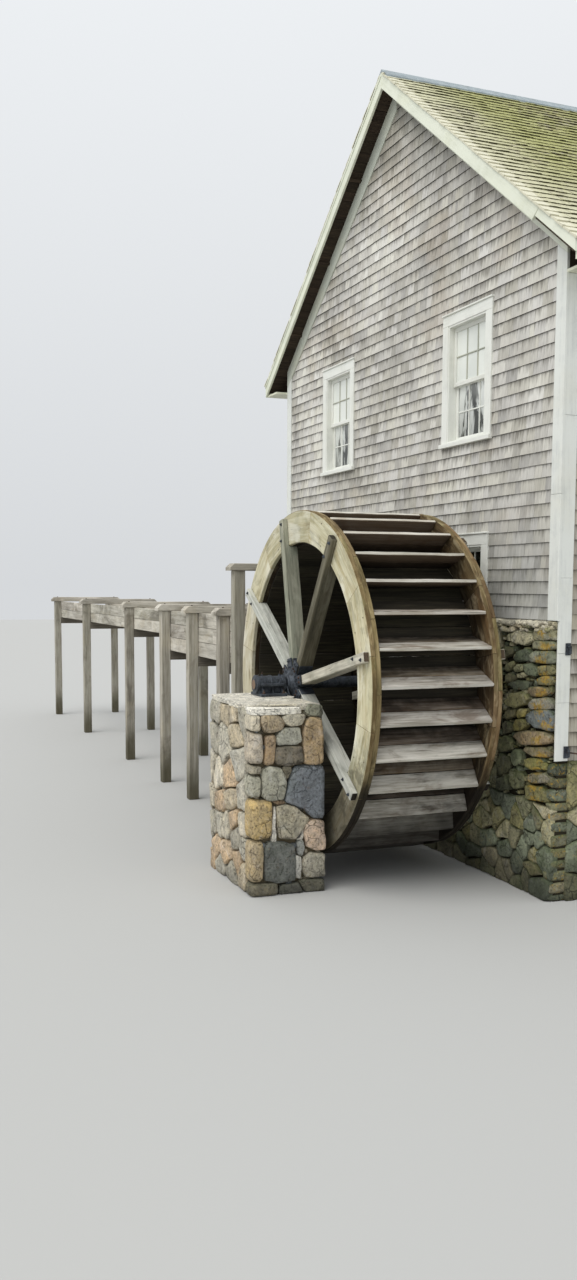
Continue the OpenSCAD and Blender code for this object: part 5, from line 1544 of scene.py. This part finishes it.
for poly in cells(SEEDS, PX0, PX1 - 0.2, -2.0, -0.17, 0.02):
    laid(G, PFRONT, poly, 0.042 + rnd(-0.008, 0.004), 0.05, tuple(np.array(lin(("#cfc4ab", "#c3b291", "#bfb8a4", "#c9ab82", "#b3ac98")[int(RNG.integers(5))])) * rnd(0.85, 1.1)),
         0.25 * rnd(), 0, 0.4, 0.8, 0.012)
# the two sides that face the wheel and upstream
SIDE_W = Plane((0, PY1 - 0.02, 0), (-1, 0, 0), (0, 0, 1), (0, 1, 0))
SIDE_U = Plane((PX0 + 0.02, 0, 0), (0, -1, 0), (0, 0, 1), (-1, 0, 0))
for P, a_, b_ in ((SIDE_W, -PX1 + 0.04, -PX0), (SIDE_U, -PY1, -PY0)):
    for poly in cells(scatter(a_, b_, -2.0, -0.17, 0.3, 0.22), a_, b_, -2.0, -0.17, 0.018):
        puff(G, P, poly, 0.028, 0.05, stone_col([GRY, TAN, BEI, SLT, OCH], 0.9), 0.1, 0, 0.4, 0.8)
# small stones and mortar that fill the joints of the seen faces
for _ in range(150):
    y, z = rnd(PY0 + 0.05, PY1 - 0.03), rnd(-1.98, -0.2)
    q = rnd(0.014, 0.045)
    rock(G, (PX1 - 0.09, y - q, z - q * rnd(0.5, 1)), (PX1 - rnd(0.014, 0.034), y + q, z + q * rnd(0.5, 1)), stone_col(["#8b8470", "#7c735c", "#6c6450", SLT, "#a39a84"], 0.8), 4, 4, 0.08, 0.15, 0.1, 0)
for _ in range(90):
    x, z = rnd(PX0 + 0.05, PX1 - 0.1), rnd(-1.98, -0.2)
    q = rnd(0.014, 0.045)
    rock(G, (x - q, PY0 + rnd(0.0, 0.016), z - q * rnd(0.5, 1)), (x + q, PY0 + 0.08, z + q * rnd(0.5, 1)), stone_col(["#8b8470", "#7c735c", "#6c6450", "#a39a84"], 0.8), 4, 4, 0.08, 0.15, 0.1, 0)
G.build("pier_stones", "mill", ["pier_stone", "pier_mortar"], ["bearing_pier"])

G = Geo()
flag(G, [(-0.352, -0.80), (-0.30, -0.885), (0.12, -0.89), (0.30, -0.86), (0.33, -0.45), (0.27, -0.13), (-0.20, -0.123), (-0.35, -0.16)], -0.17, -0.1205, "#d0cab9", layers=3, step=0.006)
flag(G, [(0.24, -0.875), (0.62, -0.889), (0.80, -0.83), (0.78, -0.5), (0.55, -0.30), (0.30, -0.32)], -0.178, -0.1225, "#cfc9b8", layers=3)
flag(G, [(0.60, -0.86), (0.97, -0.884), (1.012, -0.80), (1.014, -0.38), (0.90, -0.31), (0.64, -0.36)], -0.206, -0.145, "#ddd8c9", layers=3, step=0.011)
flag(G, [(0.28, -0.36), (0.62, -0.40), (0.93, -0.40), (0.97, -0.32), (0.96, -0.128), (0.32, -0.124)], -0.175, -0.128, "#c3bca8", layers=3)
flag(G, [(0.55, -0.72), (0.86, -0.70), (0.90, -0.28), (0.60, -0.20)], -0.14, -0.1215, "#bdb6a2", layers=2, step=0.007)
for x, y in ((-0.25, -0.83), (0.05, -0.86), (0.36, -0.85), (0.55, -0.865), (-0.1, -0.15), (0.2, -0.16)):
    q = rnd(0.05, 0.1)
    rock(G, (x - q, y - 0.02, -0.178), (x + q, y + 0.08, -0.15), stone_col([GRY, TAN, BEI]), 5, 5, 0.08, 0.1, 0.1, 0, [(1, -1, -0.89)])
G.build("pier_cap_slabs", "mill", ["cap_stone"], ["pier_cap"])

# ------------------------------------------------------------------ foundation
FS = Plane((0, Y0 + 0.02, 0), (1, 0, 0), (0, 0, 1), (0, -1, 0))
RS = Plane((X1 - 0.02, 0, 0), (0, 1, 0), (0, 0, 1), (1, 0, 0))
LS = Plane((X0 + 0.02, 0, 0), (0, -1, 0), (0, 0, 1), (-1, 0, 0))
BS = Plane((0, Y1 - 0.02, 0), (-1, 0, 0), (0, 0, 1), (0, 1, 0))
G = Geo()
box(G, (X0 + 0.05, Y0 + 0.05, -2.0), (X1 - 0.05, Y0 + 0.45, 0.715), 2, bev=0.004, mat=1)
box(G, (X1 - 0.2, Y0 + 0.04, -2.0), (X1 - 0.012, Y0 + 0.45, 0.715), 2, bev=0.004, mat=1)
MOSSY = ["#7d7c62", "#8f8b70", "#6d7260", "#9b9478", "#74704f", "#666b5b", "#a19a80", "#7f7a5a"]
for a_, b_, za_, zb_ in ((X0, 1.17, -1.05, 0.615), (X0, 2.15, -2.0, -1.07)):
    for poly in cells(scatter(a_, b_, za_, zb_, 0.24, 0.16), a_, b_, za_, zb_, 0.016):
        sz = math.sqrt(area(poly))
        laid(G, FS, poly, min(0.05, 0.15 * sz + rnd(-0.008, 0.012)), 0.06, stone_col(MOSSY), rnd(0, 0.4) if rnd() < 0.3 else 0.0, 0, 0.4, 0.8, 0.01, 1)
# the seen rubble between the wheel and the corner, stone by stone: (x, z) corners
RUBBLE = [
    ([(1.316, 0.558), (1.508, 0.607), (1.744, 0.577), (1.766, 0.512), (1.633, 0.459), (1.466, 0.471), (1.318, 0.501)], "#a8a287"),
    ([(1.173, 0.387), (1.296, 0.435), (1.444, 0.416), (1.422, 0.361), (1.301, 0.326)], "#6c6952"),
    ([(1.425, 0.307), (1.517, 0.406), (1.662, 0.441), (1.73, 0.379), (1.71, 0.312), (1.523, 0.279)], "#565c4b"),
    ([(1.281, 0.215), (1.353, 0.275), (1.45, 0.295), (1.441, 0.227), (1.332, 0.171)], "#7f7d5f"),
    ([(1.448, 0.227), (1.523, 0.27), (1.618, 0.271), (1.621, 0.213), (1.503, 0.188)], "#8b8a6c"),
    ([(1.618, 0.279), (1.78, 0.297), (1.885, 0.245), (1.832, 0.163), (1.694, 0.165), (1.632, 0.227)], "#666c58"),
    ([(1.297, 0.134), (1.406, 0.181), (1.504, 0.15), (1.459, 0.079), (1.312, 0.067)], "#6f6c55"),
    ([(1.503, 0.177), (1.622, 0.197), (1.675, 0.164), (1.601, 0.125), (1.529, 0.132)], "#9d987b"),
    ([(1.338, 0.055), (1.53, 0.115), (1.719, 0.114), (1.7, 0.033), (1.487, 0.001)], "#5f6452"),
    ([(1.308, -0.126), (1.415, -0.033), (1.63, 0.007), (1.708, -0.046), (1.671, -0.116), (1.495, -0.177), (1.347, -0.17)], "#8d8863"),
    ([(1.296, -0.251), (1.373, -0.194), (1.495, -0.188), (1.487, -0.271), (1.329, -0.316)], "#6e694f"),
    ([(1.509, -0.227), (1.567, -0.174), (1.674, -0.169), (1.666, -0.25), (1.548, -0.277)], "#8c8353"),
    ([(1.454, -0.356), (1.524, -0.293), (1.643, -0.273), (1.697, -0.327), (1.624, -0.387), (1.481, -0.407)], "#7a744b"),
    ([(1.256, -0.366), (1.329, -0.323), (1.441, -0.344), (1.432, -0.414), (1.286, -0.473)], "#5d5b48"),
    ([(1.212, -0.539), (1.335, -0.467), (1.461, -0.519), (1.441, -0.604), (1.218, -0.664)], "#62614a"),
    ([(1.443, -0.659), (1.513, -0.594), (1.634, -0.591), (1.627, -0.713), (1.521, -0.77), (1.446, -0.727)], "#727660"),
    ([(1.17, -0.755), (1.269, -0.67), (1.419, -0.676), (1.426, -0.827), (1.229, -0.928)], "#5a5a45"),
    ([(1.45, -0.80), (1.56, -0.79), (1.70, -0.84), (1.69, -0.95), (1.52, -1.0), (1.44, -0.93)], "#67684f"),
    ([(1.19, -0.94), (1.40, -0.86), (1.42, -1.02), (1.28, -1.06), (1.19, -1.04)], "#4f5140")]
for poly, c in RUBBLE:
    laid(G, FS, poly, 0.045 + rnd(-0.012, 0.008), 0.06, tuple(np.array(lin(c)) * rnd(0.95, 1.1)), 0.15 * rnd(), 0, 0.4, 0.8, 0.006)
for _ in range(260):                             # small stones in the joints
    x, z = rnd(1.15, 2.1), rnd(-1.08, 0.64)
    q = rnd(0.014, 0.05)
    rock(G, (x - q, Y0 + rnd(-0.012, 0.014), z - q * rnd(0.4, 0.8)), (x + q, Y0 + 0.09, z + q * rnd(0.4, 0.8)), stone_col(MOSSY, 0.8), 4, 4.5, 0.08, 0.15, 0.15, 0)
# the near corner: a column of flatter stones, with a run of orange lichen down its middle
LICH = [(0.64, 1.97), (0.483, 1.963), (0.367, 1.958), (0.254, 2.007), (0.137, 1.991), (0.029, 1.951), (-0.071, 1.989), (-0.209, 1.917), (-0.271, 2.02), (-0.41, 1.983),
        (-0.558, 1.956), (-0.682, 1.917), (-0.84, 1.924), (-0.988, 1.839)]
LZ, LX = np.array([q[0] for q in LICH][::-1]), np.array([q[1] for q in LICH][::-1])


def lichen_run(v):
    w = (v[:, 0] - np.interp(v[:, 2], LZ, LX) - 0.05 * np.sin(v[:, 2] * 17.0)) / 0.105
    return np.clip(0.95 * np.exp(-w * w) * (0.75 + 0.35 * np.sin(v[:, 2] * 41.0 + 1.0)) + 0.03, 0, 1.0)


CORNER = [
    ([(1.789, 0.605), (1.967, 0.637), (2.142, 0.631), (2.163, 0.541), (1.972, 0.522), (1.797, 0.524)], "#9b9678"),
    ([(1.767, 0.486), (1.815, 0.521), (2.124, 0.525), (2.164, 0.506), (2.163, 0.456), (1.977, 0.43), (1.774, 0.434)], "#8f8d74"),
    ([(1.735, 0.366), (1.82, 0.417), (2.13, 0.434), (2.162, 0.379), (2.152, 0.322), (1.983, 0.30), (1.757, 0.302)], "#8a8d78"),
    ([(1.90, 0.271), (1.983, 0.29), (2.136, 0.306), (2.156, 0.239), (2.14, 0.21), (1.899, 0.186)], "#8b8662"),
    ([(1.86, 0.15), (1.944, 0.18), (2.119, 0.195), (2.132, 0.123), (2.081, 0.098), (1.88, 0.088)], "#868262"),
    ([(1.73, 0.006), (1.745, 0.053), (1.881, 0.078), (2.053, 0.08), (2.09, 0.025), (1.998, -0.01), (1.773, -0.036)], "#96876a"),
    ([(1.715, -0.114), (1.80, -0.046), (2.064, -0.015), (2.141, -0.068), (2.13, -0.114), (1.959, -0.142), (1.755, -0.158)], "#a09c8c"),
    ([(1.70, -0.224), (1.778, -0.17), (2.091, -0.132), (2.155, -0.168), (2.155, -0.284), (2.101, -0.337), (1.855, -0.334), (1.71, -0.287)], "#7f8583"),
    ([(1.46, -0.465), (1.529, -0.412), (1.788, -0.367), (2.058, -0.351), (2.117, -0.393), (2.106, -0.446), (1.864, -0.51), (1.607, -0.535)], "#ac987a"),
    ([(1.66, -0.585), (1.726, -0.54), (2.02, -0.495), (2.11, -0.524), (2.10, -0.578), (1.982, -0.615), (1.823, -0.62)], "#9b8e72"),
    ([(1.68, -0.67), (1.8, -0.636), (1.982, -0.632), (2.07, -0.664), (2.06, -0.725), (1.806, -0.76), (1.70, -0.731)], "#96905c"),
    ([(1.738, -0.817), (1.875, -0.772), (2.054, -0.745), (2.13, -0.783), (2.11, -0.84), (1.881, -0.887), (1.769, -0.879)], "#989078"),
    ([(1.711, -0.93), (1.812, -0.90), (1.99, -0.89), (2.10, -0.94), (2.09, -1.034), (1.731, -1.06)], "#8b865c")]
for poly, c in CORNER:
    laid(G, FS, poly, 0.052 + rnd(-0.012, 0.008), 0.06, tuple(np.array(lin(c)) * rnd(0.95, 1.05)), lichen_run, 2, 0.45, 0.8, 0.005)
z = -0.64
while z > -1.97:                                 # below the corner board the stones show round the corner too
    h = min(rnd(0.09, 0.15), z + 2.0)
    rock(G, (X1 - 0.12, Y0 - 0.012, z - h + 0.004), (X1 - 0.004, Y0 + rnd(0.2, 0.36), z - 0.003), stone_col(MOSSY, 1.0), 6, 5.0, 0.08, 0.08, 0.3, 2, [(0, 1, X1 + 0.012), (1, -1, Y0 - 0.03)])
    z -= h
for poly in cells(scatter(-Y0 - 0.45, -Y0, -0.6, 0.7, 0.2, 0.15), -Y0 - 0.45, -Y0, -0.6, 0.7, 0.016):
    laid(G, LS, poly, 0.02, 0.04, stone_col(MOSSY), 0.1, 0, 0.3, 0.8, 0.006, 1)
G.build("foundation_front_stones", "mill", ["fieldstone", "core", "corner_stone"], ["foundation_front"])
# the sides and the back, below the boards
G = Geo()
for P, a_, b_, z1_ in ((RS, Y0 + 0.17, Y1, -0.63), (LS, -Y1, -Y0, -0.63), (BS, -X1, -X0, -0.63)):
    for poly in cells(scatter(a_, b_, -2.0, z1_, 0.34, 0.22), a_, b_, -2.0, z1_, 0.018):
        sz = math.sqrt(area(poly))
        laid(G, P, poly, min(0.05, 0.15 * sz + rnd(-0.01, 0.012)), 0.06, stone_col(MOSSY, 1.05), 0.2 * rnd(), 0, 0.4, 0.8, 0.01, 1)
box(G, (X0 + 0.05, Y0 + 0.4, -2.0), (X0 + 0.45, Y1 - 0.05, -0.625), 2, bev=0.004, mat=1)
box(G, (X1 - 0.45, Y0 + 0.4, -2.0), (X1 - 0.05, Y1 - 0.05, -0.625), 2, bev=0.004, mat=1)
box(G, (X0 + 0.05, Y1 - 0.45, -2.0), (X1 - 0.05, Y1 - 0.05, -0.625), 2, bev=0.004, mat=1)
G.build("foundation_side_stones", "mill", ["fieldstone", "core"], ["foundation_side_walls", "foundation_back"])

# pale cement band on top of the front foundation, with a broken lower edge
G = Geo()
n = 420
fn, f2, f3 = field(3), field(9), field(21)
xs = np.linspace(X0 + 0.02, 2.045, n)
q3 = np.stack([xs * 9, xs * 0, xs * 0], 1)
low = 0.655 + 0.028 * fn(q3) + 0.024 * f2(q3 * 3.1) + 0.014 * f3(q3 * 8.3)
rows_ = 8
v = []
for k in range(rows_):
    t = k / (rows_ - 1)
    z = low * (1 - t) + 0.722 * t
    bul = math.sin(math.pi * min(1, t * 1.05 + 0.06)) ** 0.4 if 0 < k else 0.0
    hh = 0.004 + 0.032 * bul + (0.012 * fn(np.stack([xs * 20, z * 40, z * 0], 1)) + 0.007 * f3(np.stack([xs * 60, z * 90, z * 0], 1))) * (k > 0)
    if k == 0:
        hh = hh * 0 - 0.03
    v.append(np.stack([xs, Y0 + 0.004 - hh, z], 1))
v.append(np.stack([xs, xs * 0 + Y0 + 0.05, xs * 0 + 0.722], 1))
f = [[k * n + i, k * n + i + 1, (k + 1) * n + i + 1, (k + 1) * n + i] for k in range(rows_) for i in range(n - 1)]
f.append([k * n + n - 1 for k in range(rows_ + 1)])
G.add(np.concatenate(v), f, np.concatenate(v) * 1.0 + 5.0, 0.5, 0.0, 0.0, lin("#d2cbb6"), 0, True)
x = X0 + 0.1
while x < 2.12:                                  # lumps and small stones bedded along its lower edge
    q = rnd(0.02, 0.055)
    zc = rnd(0.60, 0.665)
    rock(G, (x - q, Y0 - rnd(0.012, 0.04), zc - q * rnd(0.35, 0.7)), (x + q, Y0 + 0.05, zc + q * rnd(0.35, 0.7)), stone_col(["#c9c1a8", "#b3ab90", "#a09a7c", "#8d8a6c", "#c2b79b"], 1.0), 5, 4.0, 0.12, 0.15,
         0.3, 0, [(2, 1, 0.721)])
    x += q * rnd(0.8, 1.8)
for x, zc in ((2.07, 0.695), (2.125, 0.69), (2.10, 0.655), (2.03, 0.66), (1.97, 0.652), (2.14, 0.652)):
    rock(G, (x - 0.035, Y0 - 0.03, zc - 0.022), (x + 0.035, Y0 + 0.05, zc + 0.022), stone_col(["#c2b99d", "#a9a286"], 1.0), 5, 4.0, 0.12, 0.15, 0.8, 0, [(2, 1, 0.721), (0, 1, 2.163)])
G.build("cement_band", "mill", ["mortar"])

# ------------------------------------------------------------------ flume
FX0, FX1, FY, FW, TT, SHZ, DPZ = -15.5, -2.16, 0.08, 1.19, 0.65, 0.33, 0.04
BENT = (-2.55, -3.95, -5.42, -7.78, -11.56, -15.0)


def plank_run(G, y0, y1, z0, z1, xa, xb, breaks, mat=0):
    xs = [xa] + sorted(x for x in breaks if xa < x < xb) + [xb]
    for a_, b_ in zip(xs[:-1], xs[1:]):
        a_, b_ = a_ + 0.0015, b_ - 0.0015
        t = (y0 + y1) / 2
        timber(G, (a_, t, (z0 + z1) / 2), (b_, t, (z0 + z1) / 2), (0, 0, 1), z1 - z0 - 0.003, y1 - y0, 0.004, max(3, int((b_ - a_) / 0.35)), 0.0018, None, mat)


for name, y, reps in (("flume_near_planks", FY, ["flume_near_side"]), ("flume_far_planks", FY + FW - 0.05, ["flume_far_side"])):
    G = Geo()
    deep = [0.04, 0.245, 0.45, 0.65]
    for k in range(3):
        br = [(-2.62, -4.02), (-3.3, -4.7), (-4.02,)][k]
        plank_run(G, y, y + 0.05, deep[k], deep[k + 1], -5.45 if k == 0 else -5.43, FX1, br)
    sh_ = [0.28, 0.465, 0.65]
    for k in range(2):
        plank_run(G, y, y + 0.05, sh_[k], sh_[k + 1], FX0, -5.433, (-7.85, -9.7, -11.63, -13.4) if k else (-6.6, -8.8, -11.63, -14.2))
    # nails along the posts' lines
    out = -1 if y < 0.5 else 1
    yo = y if out < 0 else y + 0.05
    for x in BENT:
        for z_ in ((0.12, 0.36, 0.56) if x > -5.4 else (0.36, 0.56)):
            for dx in (-0.19, 0.05):
                bolt(G, (x + dx, yo, z_), (0, out, 0), 0.006, 0.004, 1, False)
    G.build(name, "mill", ["flume", "iron_rust"], reps)
G = Geo()
for xa, xb, z in ((FX0, -5.44, 0.28), (-5.40, FX1, DPZ)):
    x = xa
    while x < xb - 0.02:
        w = min(rnd(0.17, 0.24), xb - x)
        timber(G, (x + w / 2, FY + 0.051, z + 0.025), (x + w / 2, FY + FW - 0.051, z + 0.025), (1, 0, 0), w - 0.004, 0.049, 0.003, 3, 0.0015)
        x += w
for z0_, z1_ in ((0.045, 0.185), (0.188, 0.328)):
    box(G, (-5.448, FY + 0.051, z0_), (-5.402, FY + FW - 0.051, z1_), 1, bev=0.003)
G.build("flume_floor_planks", "mill", ["flume"], ["flume_floor"])

G = Geo()
PS = 0.145
for x in BENT:
    for y in (FY - PS, FY + FW):
        c = (x - PS / 2, y + PS / 2)
        timber(G, (c[0], c[1], -2.0), (c[0], c[1], TT - 0.0005), (1, 0, 0), PS - 0.002, PS - 0.002, 0.007, 9, 0.003)
G.build("flume_post_timbers", "mill", ["post"], ["flume_posts"])


def cap(G, x, a_, b_, z, w, h, mat=0):
    P = Plane((x, 0, 0), (0, 1, 0), (0, 0, 1), (1, 0, 0))
    slab(G, P, [(a_, z), (b_, z), (b_, z + h * 0.45), (b_ - h * 0.6, z + h), (a_ + h * 0.6, z + h), (a_, z + h * 0.45)], -w, 0.0, 0.006, (1, 0), mat=mat)


G = Geo()
for x in BENT:
    cap(G, x + 0.02, FY - PS - 0.06, FY + FW + PS + 0.06, TT, PS + 0.04, 0.1)
    for y in (FY - PS / 2, FY + FW + PS / 2):
        bolt(G, (x - PS / 2, y, TT + 0.1), (0, 0, 1), 0.012, 0.012, 1)
G.build("flume_cap_timbers", "mill", ["capbeam_gc", "iron_rust"] if "capbeam_gc" in MT else ["flume", "iron_rust"], ["flume_cap_beams"])
G = Geo()
for y in (FY - PS, FY + FW):
    c = (-1.945 - PS / 2, y + PS / 2)
    timber(G, (c[0], c[1], -2.0), (c[0], c[1], 1.2195), (1, 0, 0), PS - 0.002, PS - 0.002, 0.007, 12, 0.003)
cap(G, -1.925, FY - PS - 0.06, FY + FW + PS + 0.06, 1.22, PS + 0.04, 0.088)
G.build("sluice_timbers", "mill", ["post"], ["sluice_frame"])

# ------------------------------------------------------------------ stage, light, camera
bpy.ops.mesh.primitive_plane_add(size=160, location=(0, 0, 0))
floor = bpy.context.object
floor.name = "stage_floor"
fm = bpy.data.materials.new("stage_floor")
fm.use_nodes = True
fb = fm.node_tree.nodes["Principled BSDF"]
fb.inputs["Base Color"].default_value = (0.45, 0.45, 0.437, 1)
fb.inputs["Roughness"].default_value = 0.9
floor.data.materials.append(fm)

world = bpy.data.worlds.new("studio")
bpy.context.scene.world = world
world.use_nodes = True
bg = world.node_tree.nodes["Background"]
wt = world.node_tree
tc = wt.nodes.new("ShaderNodeTexCoord")
sx = wt.nodes.new("ShaderNodeSeparateXYZ")
wr = wt.nodes.new("ShaderNodeValToRGB")
wt.links.new(tc.outputs["Generated"], sx.inputs[0])
wt.links.new(sx.outputs[2], wr.inputs[0])
wr.color_ramp.elements[0].position, wr.color_ramp.elements[0].color = 0.0, (0.70, 0.72, 0.74, 1)
wr.color_ramp.elements[1].position, wr.color_ramp.elements[1].color = 0.75, (1.0, 1.03, 1.06, 1)
wt.links.new(wr.outputs[0], bg.inputs["Color"])
bg.inputs["Strength"].default_value = 0.96
sun = bpy.data.lights.new("soft_sun", "SUN")
sun.energy = 1.75
sun.angle = math.radians(50)
sun.color = (1.0, 0.98, 0.94)
so_ = bpy.data.objects.new("soft_sun", sun)
so_.rotation_euler = Vector((0.25, -0.6, 0.9)).to_track_quat("Z", "Y").to_euler()
bpy.context.scene.collection.objects.link(so_)

yaw, pit, rol = D(68.5285), D(-5.7053), D(0.2503)
dv = np.array((-math.sin(yaw) * math.cos(pit), math.cos(yaw) * math.cos(pit), math.sin(pit)))
rv_ = np.array((math.cos(yaw), math.sin(yaw), 0.0))
uv_ = np.cross(rv_, dv)
r2, u2 = math.cos(rol) * rv_ + math.sin(rol) * uv_, -math.sin(rol) * rv_ + math.cos(rol) * uv_
cam = bpy.data.cameras.new("camera")
cam.sensor_width = 36
cam.lens = 1099.788 / 1280 * 36
cam.shift_y = (695.44 - 640) / 1280
cam.clip_end = 300
co = bpy.data.objects.new("camera", cam)
cp = np.array((10.9003, -4.3993, 1.0398)) + O
co.matrix_world = Matrix(((r2[0], u2[0], -dv[0], cp[0]), (r2[1], u2[1], -dv[1], cp[1]), (r2[2], u2[2], -dv[2], cp[2]), (0, 0, 0, 1)))
bpy.context.scene.collection.objects.link(co)
sc = bpy.context.scene
sc.camera = co
sc.view_settings.view_transform = "Standard"
sc.view_settings.look = "None"
sc.view_settings.exposure = 0.0
